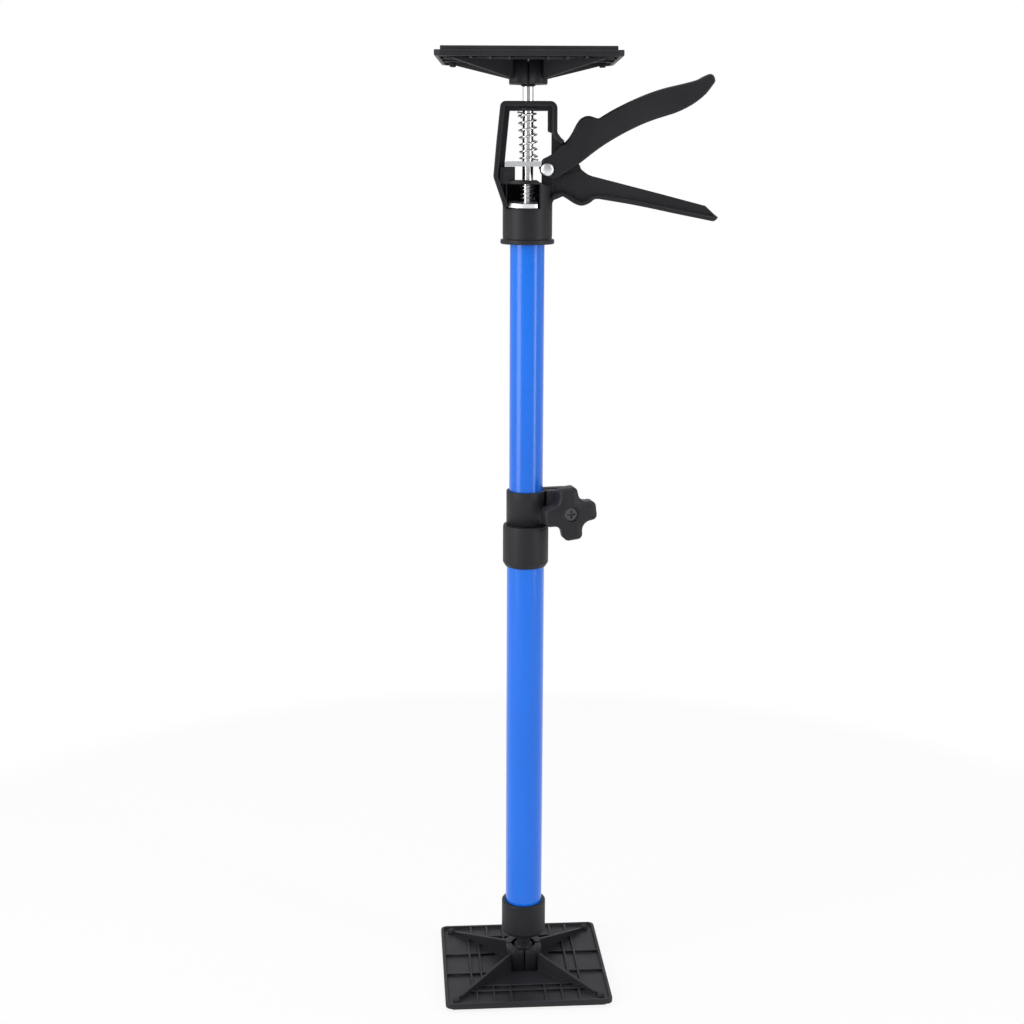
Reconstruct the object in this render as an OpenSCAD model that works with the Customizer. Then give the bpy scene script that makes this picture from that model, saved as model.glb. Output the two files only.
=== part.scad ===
// Telescopic drywall support pole.
// Two square pads on ball joints, two tubes with a screw clamp, and a squeeze grip that feeds a rod.
// The origin is the centre of the foot's floor face, and Z is up.

/* [Pads] */
// Side of each square pad plate
pad_side = 127; // [118:1:140]
// Corner radius of the plate
pad_corner_r = 5; // [3:0.5:8]
// Height of the rim and of the ribs
pad_rim_h = 4; // [3.2:0.2:5]
// Width of the rim
pad_rim_w = 2.6; // [2:0.2:3.4]
// Thickness of the plate between the ribs
pad_floor_t = 2; // [1.6:0.2:2.6]
// Thickness of the ribs
rib_t = 1.6; // [1.2:0.2:2.4]
// Thickness of the four tall webs
web_t = 2; // [1.6:0.2:3]
// Width of the hub across its flats
hub_w = 27; // [25:0.5:30]
// Corner cut of the hub
hub_cut = 5.2; // [4:0.2:6]
// Height of the hub above the plate's mat side
hub_h = 20; // [19:0.5:22]
// Width of the hub's slots
hub_slot_w = 1.2; // [0.8:0.1:2]
// Thickness of the rubber mat
mat_t = 3; // [2:0.5:5]
// Distance from the plate's edge to the mat's edge
mat_inset = 4; // [3:0.5:6]
// Distance of the mat's plugs from the pad's middle
plug_x = 55; // [50:0.5:56]
// Diameter of the plugs' shank
plug_d = 4.2; // [3.6:0.1:5]
// Diameter of the plugs' head
plug_head_d = 6; // [5.5:0.25:7.5]
// Height of the plugs' head
plug_head_h = 3.4; // [2.6:0.2:5]

// Turn of the foot pad at rest
foot_turn = 4.2; // [0:0.1:15]

/* [Ball joints] */
// Diameter of both balls
ball_d = 18; // [17:0.25:18.5]
// Height of the ball's middle above the plate's mat side
ball_seat_h = 13.5; // [13:0.25:14.5]
// Distance from the foot ball's middle to the cup
neck_l = 17.5; // [16.5:0.5:22]
// Diameter of the foot ball's neck
neck_d = 10; // [8.5:0.25:10.5]
// Diameter of the shoulder under the cup
shoulder_d = 13; // [12:0.5:16]
// Height of that shoulder
shoulder_h = 1.8; // [1:0.2:3]
// Diameter of the stem that passes the cup's floor
stem_d = 8; // [6:0.25:8]
// Diameter of the stem's turned-over head
stem_head_d = 11; // [10:0.5:14]
// Height of that head
stem_head_h = 2.85; // [2:0.15:4]

/* [Tubes] */
// Outside diameter of the lower tube
outer_d = 28; // [27.6:0.1:29]
// Outside diameter of the upper tube
inner_d = 25; // [24.4:0.1:25.2]
// Wall of both tubes
tube_wall = 1.2; // [1:0.05:1.25]
// Length of the lower tube
outer_l = 324.5; // [300:0.5:420]
// Length of the upper tube
inner_l = 355.8; // [340:0.1:450]
// How far the upper tube sits in the lower tube
insertion = 127.5; // [110:0.5:140]
// Height of the guide flange
guide_h = 3; // [2:0.25:6]
// Height of the guide's spigot inside the tube
guide_spigot_h = 10; // [6:0.5:16]
// Diameter of the hole through the guide
guide_bore_d = 16; // [12:0.5:18]

/* [Cup and clamp collar] */
// Outside diameter of the cup at the foot
cup_d = 34; // [32.5:0.25:36]
// Height of the cup
cup_h = 27; // [22:0.5:36]
// Thickness of the cup's floor
cup_floor_t = 4; // [3:0.25:5]
// Edge radius at the cup's lower end
cup_edge_r = 4; // [2:0.25:5]
// Outside diameter of the collar's lower sleeve
sleeve_d = 34; // [32.5:0.25:34.5]
// Height of the collar's lower sleeve
sleeve_h = 31.5; // [26:0.5:36]
// Chamfer at the collar's lower end
sleeve_chamfer = 3; // [1:0.25:3.5]
// Thickness of the step above the lower tube
step_t = 1; // [0.8:0.1:2]
// Outside diameter of the collar's upper sleeve
grip_sleeve_d = 29; // [28.4:0.1:30]
// Height of the collar's upper sleeve
grip_sleeve_h = 26; // [24:0.5:32]
// Direction of the ears, turned from the handle's side
ear_turn = 14; // [0:1:30]
// Gap between the two ears
ear_gap = 4; // [3:0.25:5]
// Thickness of each ear
ear_t = 7; // [6:0.25:8]
// Distance from the pole's axis to the ears' ends
ear_reach = 35; // [33:0.5:38]
// Distance from the pole's axis to the clamp bolt
bolt_x = 27.6; // [27:0.2:28]
// Height of the clamp bolt above the lower sleeve
bolt_rise = 11.5; // [11:0.25:13]
// Height of the ears
ear_h = 23.5; // [21:0.5:25]
// Corner radius of the ears
ear_r = 5; // [3:0.25:6]

/* [Knob and bolt] */
// Width across the knob's lobes
knob_w = 39.5; // [36:0.5:40]
// Width of one lobe
lobe_w = 13.6; // [12:0.2:15]
// Corner radius of the lobes' ends
lobe_r = 3.4; // [2:0.2:5]
// Radius in the corners between the lobes
lobe_root_r = 6; // [4:0.25:7]
// Thickness of the knob's lobes
knob_t = 13; // [11:0.5:15]
// Turn of the knob at rest
knob_turn = 7; // [0:1:90]
// Diameter of the knob's boss
knob_boss_d = 16; // [14:0.5:18]
// Distance from the ears' middle plane to the knob's back
knob_back = 15.6; // [15.5:0.1:18]
// Diameter of the recess for the bolt's head
recess_d = 10.5; // [10:0.25:12]
// Depth of that recess
recess_h = 5.5; // [4:0.25:7]
// Thread diameter of the clamp bolt
bolt_d = 6; // [5:0.25:6.5]
// Diameter of the bolt's head
bolt_head_d = 9.8; // [8.5:0.1:9.8]
// Height of the bolt's head
bolt_head_h = 3.4; // [2.5:0.1:4]
// Distance the bolt stands out behind the rear ear
bolt_tail = 1; // [0.5:0.25:3]
// Width of the nut across its flats
nut_w = 10; // [9:0.25:11]
// Height of the nut
nut_h = 5; // [4:0.25:5.5]
// Diameter of the washer
washer_d = 12; // [10:0.5:14]
// Thickness of the washer
washer_t = 1; // [0.8:0.1:1.6]

/* [Housing] */
// Outside diameter of the housing's neck
neck_od = 35.6; // [34.5:0.1:37]
// Height of the neck
neck_h = 44.8; // [44:0.2:46]
// Diameter of the flange at the neck's lower end
neck_flange_d = 38.8; // [37.5:0.1:41]
// Height of that flange
neck_flange_h = 3.5; // [2.5:0.25:5]
// How far the upper tube sits in the neck
tube_seat = 20.8; // [18:0.1:22]
// Height of the pocket's floor
pocket_z = 25.4; // [25:0.1:26]
// Height of the pocket
pocket_h = 16.7; // [16.4:0.1:17]
// Distance of the pocket's left side from the axis
pocket_left = 14.7; // [14.2:0.1:15.2]
// Distance of the pocket's right side from the axis
pocket_right = 8.5; // [8:0.1:9]
// Depth of the pocket behind the axis
pocket_back = 10; // [9.8:0.1:11]
// Height of the whole housing
frame_h = 99.2; // [98:0.2:104]
// Depth of the frame's flange, front to back
frame_depth = 26; // [24:0.5:30]
// Depth of the web inside the flange
web_depth = 12; // [10:0.5:14]
// Thickness of the frame's flange
flange_t = 3.4; // [3:0.1:4]
// Height of the frame's bar above the window
frame_bar = 6.5; // [6:0.1:8]
// Height of the shelf under the drive plate's left end
shelf_z = 54.1; // [53.9:0.1:54.3]
// Depth of that shelf, front to back
shelf_depth = 20; // [18.5:0.5:24]
// Width of the spring seat under the top bar
seat_d = 17; // [16:0.5:19]
// Thickness of the web in the handle and round the pin
grip_web_t = 6; // [5:0.1:6]
// Width of the handle's bottom flange
grip_flange_w = 16; // [14:0.5:20]
// Thickness of the handle's bottom flange
grip_flange_t = 3; // [2.4:0.1:3.4]
// Length of the handle from the neck to its end
grip_l = 118.3; // [112:0.1:122]

/* [Lever] */
// Length of the lever from its pin to its end
lever_l = 117.6; // [112:0.1:120]
// Width of the lever, front to back
lever_w = 16; // [15:0.5:18]
// Gap of the lever's fork, and width of the groove under it
fork_gap = 6.8; // [6.8:0.1:8]
// Depth of the groove
groove_h = 9; // [8:0.25:10]
// Distance of the pin from the pole's axis
pin_x = 13.7; // [13.6:0.05:13.8]
// Height of the pin above the housing's lower end
pin_z = 52.3; // [52.2:0.05:52.4]
// Diameter of the pin
pin_d = 5; // [4:0.1:5.4]
// Diameter of the pin's head
pin_head_d = 9.2; // [8:0.1:9.4]
// Height of the pin's head
pin_head_h = 2.15; // [1.5:0.05:3]
// Diameter of the web's boss round the pin
pin_boss_d = 10.4; // [9:0.1:11]

/* [Rod and plates] */
// Diameter of the rod
rod_d = 8; // [7:0.1:8]
// Height of the head ball above the top of the housing
ball_rise = 18.1; // [18:0.1:60]
// Length of the rod below the top of the housing
rod_drop = 207.2; // [190:0.2:215]
// Diameter of the rod's spigot inside the ball
spigot_d = 6; // [5:0.25:6.5]
// Height of the stop
stop_h = 10; // [6:0.5:16]
// Thickness of the drive plate
drive_t = 3.5; // [3:0.1:3.5]
// Width of the drive plate, front to back
drive_w = 18; // [16:0.5:20]
// Distance of the drive plate's left end from the axis
drive_left = 16.3; // [16:0.05:16.4]
// Distance of the drive plate's right end from the axis
drive_right = 9.4; // [9.2:0.05:9.5]
// Diameter of the drive plate's hole
drive_hole_d = 8.9; // [8.8:0.05:9.2]
// Thickness of the lock plate
lock_t = 2.9; // [2.4:0.1:2.9]
// Distance of the lock plate's left side from the axis
lock_left = 13.8; // [13:0.1:13.9]
// Distance of the lock plate's right side from the axis
lock_right = 7; // [6.8:0.1:7.6]
// Distance of the lock plate's back edge from the axis
lock_back = 9.6; // [8.5:0.1:9.6]
// Distance of the lock plate's front edge from the axis
lock_front = 17; // [15:0.1:17.4]
// Diameter of the lock plate's hole
lock_hole_d = 8.8; // [8.7:0.05:9.2]
// Slope of the lock plate at rest
lock_slope = 5; // [3:0.25:5]

/* [Springs] */
// Wire of the main spring
main_wire = 1.5; // [1.2:0.1:1.6]
// Mean radius of the main spring
main_r = 6.2; // [5.8:0.1:6.6]
// Curls of the main spring
main_curls = 7.5; // [6:0.5:8.5]
// Sideways lean of the main spring's ends
main_lean = 0.7; // [0:0.1:0.9]
// Wire of the lock spring
lock_wire = 1.2; // [1:0.1:1.2]
// Mean radius of the lock spring
lock_r = 5.1; // [5:0.05:5.3]
// Curls of the lock spring
lock_curls = 4; // [3:1:5]

/* [Screws] */
// Shank diameter of the small screws
screw_d = 3.5; // [2.9:0.1:4]
// Head diameter of the small screws
screw_head_d = 7; // [6:0.25:8]
// Head height of the small screws
screw_head_h = 2; // [1.4:0.1:2.4]

/* [Fits] */
// Radial clearance of pressed fits
press_gap = 0.04; // [0.02:0.01:0.06]
// Radial clearance of turning fits
turn_gap = 0.06; // [0.04:0.01:0.1]
// Radial clearance of sliding fits
slide_gap = 0.1; // [0.08:0.01:0.15]
// Radial clearance between a ball and its seat
ball_gap = 0.2; // [0.15:0.01:0.3]
// Face clearance of moving pieces
face_gap = 0.15; // [0.1:0.01:0.2]
// Clearance between a plate and what it rests on
seat_gap = 0.3; // [0.2:0.02:0.3]

/* [Hidden] */
$fn = 64;
cut = pad_side / 100;

plastic = "#2a2a2d";
rubber = "#1c1c1e";
blue = "#1273e6";
zinc = "#c9ccd0";

// Heights up the pole
base_ball_z = mat_t + ball_seat_h;
cup_z = base_ball_z + neck_l;
outer_z = cup_z + cup_floor_t;
outer_top = outer_z + outer_l;
inner_z = outer_top - insertion;
inner_top = inner_z + inner_l;
collar_z = outer_top + step_t - sleeve_h;
grip_sleeve_z = outer_top + step_t;
bolt_z = grip_sleeve_z + bolt_rise;
housing_z = inner_top - tube_seat;
frame_top = housing_z + frame_h;
rod_z = frame_top - rod_drop;
top_ball_z = frame_top + ball_rise;
top_face_z = top_ball_z + ball_seat_h + mat_t;

// Bores that follow what they hold
outer_bore = outer_d - 2 * tube_wall;
inner_bore = inner_d - 2 * tube_wall;
guide_d = outer_bore - 2 * slide_gap;
stop_d = inner_bore - 6 * slide_gap;
guide_hole = rod_d + 2 * slide_gap;

// Pad ribs, as shares of the pad's side
side_rib_shares = [0.268, 0.331];
front_rib_shares = [0.283, 0.346];
side_cross_share = 0.122;
front_cross_shares = [-0.307, -0.205, -0.102, 0.102, 0.205, 0.307];
side_cross_end_share = 0.173;
hub_corner_r = (hub_w - hub_cut) / sqrt(2);
web_top_share = 0.83;
web_end = plug_x * sqrt(2) - plug_head_d * 0.55;

// Mouth of the ball seat
throat_h = ball_d / 4;
throat_r = ball_d * 0.433;
mouth_r = ball_d * 0.528;

// Ball and rod joint at the head
ball_flat = ball_d / 18;
rivet_z = ball_d * 0.22;
rivet_d = ball_d / 2;
rivet_h = ball_d * 0.13;
rivet_sink_d = rivet_d + 2 * seat_gap;

// Knob and bolt along the bolt's axis, from the ears' middle plane
ear_out = ear_gap / 2 + ear_t;
washer_z = ear_out + face_gap;
boss_z = washer_z + washer_t;
knob_front = knob_back + knob_t;
recess_z = knob_front - recess_h;
ear_z = grip_sleeve_h - ear_h;
knob_root_share = 0.6;

// Frame outline, as shares of its half width and of its height
frame_left = frame_h * 0.246;
frame_right = frame_h * 0.207;
frame_left_shares = [[0.71, 0.26], [0.755, 0.302], [1, 0.476], [0.914, 0.717], [0.791, 1]];
frame_left_r_shares = [0, 0.06, 0.06, 0.1, 0.04];
frame_right_shares = [[1, 1], [1.005, 0.785], [1.08, 0.757], [1.25, 0.728]];
frame_right_r_shares = [0.05, 0.035, 0.02, 0];
window_top = frame_h - frame_bar;
window_left_shares = [[0.53, 1], [0.664, 0.631], [0.68, 0.584]];
window_right_shares = [[0.678, 1], [0.683, 0.846], [0.805, 0.829], [0.805, 0.75]];
shelf_left_share = 0.82;
shelf_right_share = 0.37;
heel_gap = drive_t / 3;
web_drop_share = 0.785;

// Handle outline in hundredths of its length, from the neck's side at the pocket's floor
grip_low_shares = [[-0.6, -2], [-0.4, 3.2], [1.9, 6.5], [4.5, 7.4], [7.1, 6.5], [12.9, 2.7],
                   [17.5, 1.1], [22.1, 2.9], [25, 5.4], [27.2, 5.6], [50.5, 1.9], [72.5, -2.7],
                   [97.4, -7.6], [99.6, -5.1]];
grip_high_shares = [[92.1, 1.7], [64.9, 8.7], [21.2, 19.6], [17.2, 22.9]];
grip_root_shares = [[10, 19], [-2, 19], [-3, -2]];

// Web between frame, pin and handle, in hundredths of the fork's reach, from the pin
fork_r = lever_l * 0.234;
pin_web_shares = [[-14, -60], [-14, 0], [11, 33], [11, 94], [25, 94], [43, 71], [59, 43],
                  [84, 12], [88.7, 0], [88, -25], [60, -60], [13, -80]];
relief_r = pin_boss_d * 0.98;

// Lever outline in hundredths of its length, from the pin
lever_high_shares = [[-2.2, 6.4], [2.8, 8.8], [6.4, 12.4], [12.5, 17.7], [15, 21.6],
                     [17.8, 27.2], [19.9, 30], [22.8, 31.5], [25.7, 31.5], [28.6, 30.4],
                     [30.7, 30], [38.6, 34.9], [52.9, 42], [67.1, 47.3], [81.4, 50.5],
                     [89.2, 52.6], [93.5, 55], [96.3, 56.2], [98.5, 55.4], [100, 52]];
lever_low_shares = [[94.5, 44.3], [87.5, 38.7], [78.2, 33.8], [60.4, 28.4], [46, 21.7],
                    [31.7, 13.2], [19.6, 3.6], [8.8, -3.6]];
lever_tip_shares = [[4.5, -5.8], [1.3, -5.8], [-1.4, -4.2], [-3.9, -1.6], [-4.9, 0.9]];

// Plates and springs in the housing
drive_z = housing_z + shelf_z + seat_gap;
heel_x = drive_left - drive_t * 0.23;
ledge_z = shelf_z - pin_z;
ledge_x = drive_right + seat_gap + ball_gap / 2 - pin_x;
lock_z = housing_z + pocket_z + lock_t * 0.862;
lock_ledge_y = lock_back - lock_t * 0.9;
main_z0 = drive_z + drive_t + seat_gap;
main_z1 = housing_z + window_top - seat_gap;
lock_z0 = lock_z + lock_t + seat_gap / 10;
lock_z1 = housing_z + pocket_z + pocket_h - seat_gap;

// Small screws
housing_screw_z = tube_seat * 0.58;
collar_screw_z = sleeve_h / 2;
cup_screw_z = cup_h * 0.6;

// Unit vector of a plane or space vector
function unit(v) = v / norm(v);

// Corner q between p and s rounded by an arc of radius r
function corner(p, q, s, r, n) =
    let(u = unit(p - q), v = unit(s - q), c0 = max(-1, min(1, u * v)), half = acos(c0) / 2)
    (r <= 0 || half > 89.5) ? [q] :
    let(d = r / tan(half), m = q + unit(u + v) * r / sin(half), a = q + u * d - m, b = q + v * d - m,
        t0 = atan2(a[1], a[0]), t1 = atan2(b[1], b[0]) - t0,
        turn = t1 > 180 ? t1 - 360 : (t1 < -180 ? t1 + 360 : t1))
    [for (i = [0:n]) m + r * [cos(t0 + turn * i / n), sin(t0 + turn * i / n)]];

// Closed outline of [x, y, radius] points with rounded corners
function rounded(P, n = 5) =
    let(k = len(P), Q = [for (p = P) [p[0], p[1]]])
    [for (i = [0:k - 1]) each corner(Q[(i + k - 1) % k], Q[i], Q[(i + 1) % k], P[i][2], n)];

// Open path of [x, y, radius] points with rounded bends
function bent(P, n = 5) =
    let(k = len(P), Q = [for (p = P) [p[0], p[1]]])
    [for (i = [0:k - 1])
        each (i == 0 || i == k - 1) ? [Q[i]] : corner(Q[i - 1], Q[i], Q[i + 1], P[i][2], n)];

// Radius that eases the bend at point i over a share of its shorter side
function ease(Q, i, share) =
    let(a = Q[i - 1] - Q[i], b = Q[i + 1] - Q[i], half = acos(max(-1, min(1, unit(a) * unit(b)))) / 2)
    share * min(norm(a), norm(b)) * tan(min(half, 89.4));

// Open path with every bend eased
function eased(Q, n = 4, share = 0.48) =
    bent([for (i = [0:len(Q) - 1])
        (i == 0 || i == len(Q) - 1) ? [Q[i][0], Q[i][1], 0] : [Q[i][0], Q[i][1], ease(Q, i, share)]], n);

// Path moved sideways by t, to the right of its travel
function shifted(P, t) =
    let(k = len(P), N = [for (i = [0:k - 2]) let(d = unit(P[i + 1] - P[i])) [d[1], -d[0]]])
    [for (i = [0:k - 1])
        let(a = N[max(i - 1, 0)], b = N[min(i, k - 2)]) P[i] + t * (a + b) / (1 + a * b)];

function reversed(P) = [for (i = [len(P) - 1:-1:0]) P[i]];

// Closed band along a path between two sideways shifts
function band(P, t0, t1) = concat(shifted(P, t0), reversed(shifted(P, t1)));

function square_pts(side, r) =
    let(h = side / 2) rounded([[-h, -h, r], [h, -h, r], [h, h, r], [-h, h, r]], 8);

// Flat shape in the XZ plane, drawn from y0 to y1
module slab(P, y0, y1) {
    translate([0, y1, 0]) rotate([90, 0, 0]) linear_extrude(y1 - y0) polygon(P);
}

// Round bar along Y between two places
module cross_bar(d, y0, y1) {
    translate([0, y1, 0]) rotate([90, 0, 0]) cylinder(d = d, h = y1 - y0);
}

// Hollow round with a through bore
module ring(od, id, h) {
    difference() {
        cylinder(d = od, h = h);
        translate([0, 0, -cut]) cylinder(d = id, h = h + 2 * cut);
    }
}

// Small screw from the back, its head flush with a round of diameter d, its tip at radius tip
module back_screw(d, tip) {
    cross_bar(screw_d, tip, d / 2 - screw_head_h / 2);
    cross_bar(screw_head_d, d / 2 - screw_head_h, d / 2);
}

// Hole for that screw
module back_screw_hole(d) {
    cross_bar(screw_d + 2 * press_gap, 0, d / 2);
    cross_bar(screw_head_d + 2 * slide_gap, d / 2 - screw_head_h, d / 2 + cut);
}

// Square pad plate with its hub, its mat side at zero
module pad_plate() {
    inner_side = pad_side - 2 * pad_rim_w;
    difference() {
        union() {
            linear_extrude(pad_floor_t) polygon(square_pts(pad_side, pad_corner_r));
            difference() {
                linear_extrude(pad_rim_h) polygon(square_pts(pad_side, pad_corner_r));
                translate([0, 0, pad_floor_t / 2]) linear_extrude(pad_rim_h)
                    polygon(square_pts(inner_side, pad_corner_r - pad_rim_w / 2));
            }
            for (side = [-1, 1]) {
                for (share = side_rib_shares) rib(side * share * pad_side, 0, rib_t, 2 * share * pad_side);
                for (share = front_rib_shares) rib(0, side * share * pad_side, 2 * share * pad_side, rib_t);
                for (end = [-1, 1]) {
                    reach = inner_side / 2 - side_cross_end_share * pad_side + rib_t;
                    rib(side * (inner_side / 2 + rib_t - reach / 2), end * side_cross_share * pad_side,
                        reach, rib_t);
                }
                for (share = front_cross_shares) {
                    from = max(abs(share), front_rib_shares[0]) * pad_side;
                    reach = inner_side / 2 - from + rib_t;
                    rib(share * pad_side, side * (from + reach / 2), rib_t, reach);
                }
            }
            for (turn = [45:90:315]) rotate([0, 0, turn]) slab(web_pts(), -web_t / 2, web_t / 2);
            linear_extrude(hub_h) polygon(rounded([for (k = [0:7])
                let(h = hub_w / 2, c = h - hub_cut, q = floor(k / 2) * 90, f = k % 2 == 0 ? -c : c)
                [h * cos(q) - f * sin(q), h * sin(q) + f * cos(q), hub_cut / 6]], 3));
        }
        translate([0, 0, ball_seat_h]) sphere(r = ball_d / 2 + ball_gap);
        mouth_h = hub_h - ball_seat_h - throat_h;
        translate([0, 0, ball_seat_h + throat_h])
            cylinder(r1 = throat_r, r2 = mouth_r + (mouth_r - throat_r) * cut / mouth_h, h = mouth_h + cut);
        for (turn = [0, 90]) rotate([0, 0, turn]) translate([-hub_w, -hub_slot_w / 2, ball_seat_h / 2])
            cube([2 * hub_w, hub_slot_w, hub_h]);
        for (x = [-plug_x, plug_x], y = [-plug_x, plug_x]) translate([x, y, -cut])
            cylinder(d = plug_d + 2 * press_gap, h = pad_floor_t + 2 * cut);
    }
}

module rib(x, y, w, l) {
    translate([x - w / 2, y - l / 2, 0]) cube([w, l, pad_rim_h]);
}

// Tall web from the hub's corner down to the plug
function web_pts() = [[hub_corner_r * 0.86, 0], [web_end, 0], [web_end, pad_rim_h],
                      [hub_corner_r, hub_h * web_top_share], [hub_corner_r * 0.86, hub_h * web_top_share]];

// Rubber mat with four headed plugs, its plate side at zero
module pad_mat() {
    side = pad_side - 2 * mat_inset;
    translate([0, 0, -mat_t]) linear_extrude(mat_t) polygon(square_pts(side, pad_corner_r / 2));
    for (x = [-plug_x, plug_x], y = [-plug_x, plug_x]) translate([x, y, 0]) {
        translate([0, 0, -mat_t / 2]) cylinder(d = plug_d, h = mat_t / 2 + pad_floor_t + plug_head_h / 2);
        translate([0, 0, pad_floor_t]) cylinder(d1 = plug_head_d, d2 = plug_d, h = plug_head_h);
    }
}

module base_plate() {
    color(plastic) translate([0, 0, mat_t]) rotate([0, 0, foot_turn]) pad_plate();
}

module base_mat() {
    color(rubber) translate([0, 0, mat_t]) rotate([0, 0, foot_turn]) pad_mat();
}

module top_plate() {
    color(plastic) translate([0, 0, top_face_z - mat_t]) rotate([180, 0, 0]) pad_plate();
}

module top_mat() {
    color(rubber) translate([0, 0, top_face_z - mat_t]) rotate([180, 0, 0]) pad_mat();
}

// Ball, neck, shoulder and turned-over stem at the foot
module base_ball_stud() {
    color(plastic) translate([0, 0, base_ball_z]) {
        sphere(d = ball_d);
        cylinder(d = neck_d, h = neck_l - face_gap);
        translate([0, 0, neck_l - face_gap - shoulder_h]) cylinder(d = shoulder_d, h = shoulder_h);
        cylinder(d = stem_d, h = neck_l + cup_floor_t + face_gap + stem_head_h / 2);
        translate([0, 0, neck_l + cup_floor_t + face_gap]) cylinder(d = stem_head_d, h = stem_head_h);
    }
}

module base_socket() {
    color(plastic) translate([0, 0, cup_z]) difference() {
        rotate_extrude() polygon(rounded([[0, 0, 0], [cup_d / 2, 0, cup_edge_r],
                                          [cup_d / 2, cup_h, cup_edge_r / 5], [0, cup_h, 0]]));
        translate([0, 0, cup_floor_t]) cylinder(d = outer_d + 2 * press_gap, h = cup_h);
        translate([0, 0, -cut]) cylinder(d = stem_d + 2 * turn_gap, h = cup_h);
        translate([0, 0, cup_screw_z]) back_screw_hole(cup_d);
    }
}

module outer_tube() {
    color(blue) difference() {
        translate([0, 0, outer_z]) ring(outer_d, outer_bore, outer_l);
        translate([0, 0, cup_z + cup_screw_z]) cross_bar(screw_d + 2 * press_gap, 0, outer_d);
        translate([0, 0, collar_z + collar_screw_z]) cross_bar(screw_d + 2 * press_gap, 0, outer_d);
    }
}

module inner_tube() {
    color(blue) difference() {
        translate([0, 0, inner_z]) ring(inner_d, inner_bore, inner_l);
        translate([0, 0, housing_z + housing_screw_z]) cross_bar(screw_d + 2 * press_gap, 0, inner_d);
    }
}

module tube_guide_plug() {
    color(plastic) translate([0, 0, inner_z - guide_h]) difference() {
        union() {
            cylinder(d = guide_d, h = guide_h);
            cylinder(d = inner_bore - 2 * press_gap, h = guide_h + guide_spigot_h);
        }
        translate([0, 0, -cut]) cylinder(d = guide_bore_d, h = guide_h + guide_spigot_h + 2 * cut);
    }
}

// Ear of the collar, between two places along the bolt's direction
module ear(s0, s1) {
    x0 = (grip_sleeve_d / 2 + inner_d / 2) / 2;
    rotate([90, 0, 0]) translate([0, 0, s0]) linear_extrude(s1 - s0)
        polygon(rounded([[x0, ear_z, 0], [ear_reach, ear_z, ear_r], [ear_reach, grip_sleeve_h, ear_r],
                         [x0, grip_sleeve_h, 0]]));
}

// Frame with its Z axis along the clamp bolt, towards the knob
module at_bolt() {
    translate([0, 0, bolt_z]) rotate([0, 0, ear_turn])
        translate([bolt_x, 0, 0]) rotate([90, 0, 0]) children();
}

module clamp_collar() {
    color(plastic) difference() {
        union() {
            translate([0, 0, collar_z]) rotate_extrude()
                polygon([[0, 0], [sleeve_d / 2 - sleeve_chamfer * 0.6, 0], [sleeve_d / 2, sleeve_chamfer],
                         [sleeve_d / 2, sleeve_h - step_t / 2],
                         [sleeve_d / 2 - step_t / 2, sleeve_h], [0, sleeve_h]]);
            translate([0, 0, grip_sleeve_z]) {
                cylinder(d = grip_sleeve_d, h = grip_sleeve_h);
                rotate([0, 0, ear_turn]) {
                    ear(ear_gap / 2, ear_out);
                    ear(-ear_out, -ear_gap / 2);
                }
            }
        }
        translate([0, 0, collar_z - cut]) cylinder(d = outer_d + 2 * press_gap, h = sleeve_h - step_t + cut);
        translate([0, 0, collar_z])
            cylinder(d = inner_d + 2 * slide_gap, h = sleeve_h + grip_sleeve_h + cut);
        translate([0, 0, grip_sleeve_z + ear_z / 2]) rotate([0, 0, ear_turn]) translate([0, -ear_gap / 2, 0])
            cube([grip_sleeve_d, ear_gap, grip_sleeve_h]);
        at_bolt() translate([0, 0, -2 * ear_out]) cylinder(d = bolt_d + 2 * slide_gap, h = 4 * ear_out);
        at_bolt() translate([0, 0, -ear_out - cut])
            cylinder(d = (nut_w + 2 * press_gap) / cos(30), h = nut_h + cut, $fn = 6);
        translate([0, 0, collar_z + collar_screw_z]) back_screw_hole(sleeve_d);
    }
}

module clamp_nut() {
    color(zinc) at_bolt() translate([0, 0, -ear_out]) difference() {
        cylinder(d = nut_w / cos(30), h = nut_h, $fn = 6);
        translate([0, 0, -cut]) cylinder(d = bolt_d + 2 * turn_gap, h = nut_h + 2 * cut);
    }
}

module sleeve_screws() {
    tip = outer_bore / 2 + press_gap;
    color(zinc) {
        translate([0, 0, cup_z + cup_screw_z]) back_screw(cup_d, tip);
        translate([0, 0, collar_z + collar_screw_z]) back_screw(sleeve_d, tip);
    }
}

// Four lobes, widest at their roots
function knob_pts() = rounded([for (k = [0:3], c = [[knob_w, -lobe_w, lobe_r], [knob_w, lobe_w, lobe_r],
                                                    [lobe_w * 1.16, lobe_w * 1.16, lobe_root_r]])
    let(x = c[0] / 2, y = c[1] / 2, q = 90 * k)
    [x * cos(q) - y * sin(q), x * sin(q) + y * cos(q), c[2]]], 5);

module clamp_knob() {
    color(plastic) at_bolt() rotate([0, 0, knob_turn]) difference() {
        union() {
            translate([0, 0, boss_z]) cylinder(d = knob_boss_d, h = knob_t);
            translate([0, 0, knob_back]) linear_extrude(knob_t) polygon(knob_pts());
        }
        cylinder(d = bolt_d + 2 * press_gap, h = knob_front);
        translate([0, 0, recess_z]) cylinder(d = recess_d, h = recess_h + cut);
    }
}

module clamp_bolt() {
    color(zinc) at_bolt() difference() {
        union() {
            translate([0, 0, -ear_out - bolt_tail])
                cylinder(d = bolt_d, h = recess_z + ear_out + bolt_tail + bolt_head_h / 2);
            translate([0, 0, recess_z]) cylinder(d = bolt_head_d, h = bolt_head_h);
        }
        for (turn = [0, 90]) rotate([0, 0, turn])
            translate([-bolt_head_d * 0.3, -bolt_head_d * 0.06, recess_z + bolt_head_h / 2])
            cube([bolt_head_d * 0.6, bolt_head_d * 0.12, bolt_head_h]);
    }
}

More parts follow.
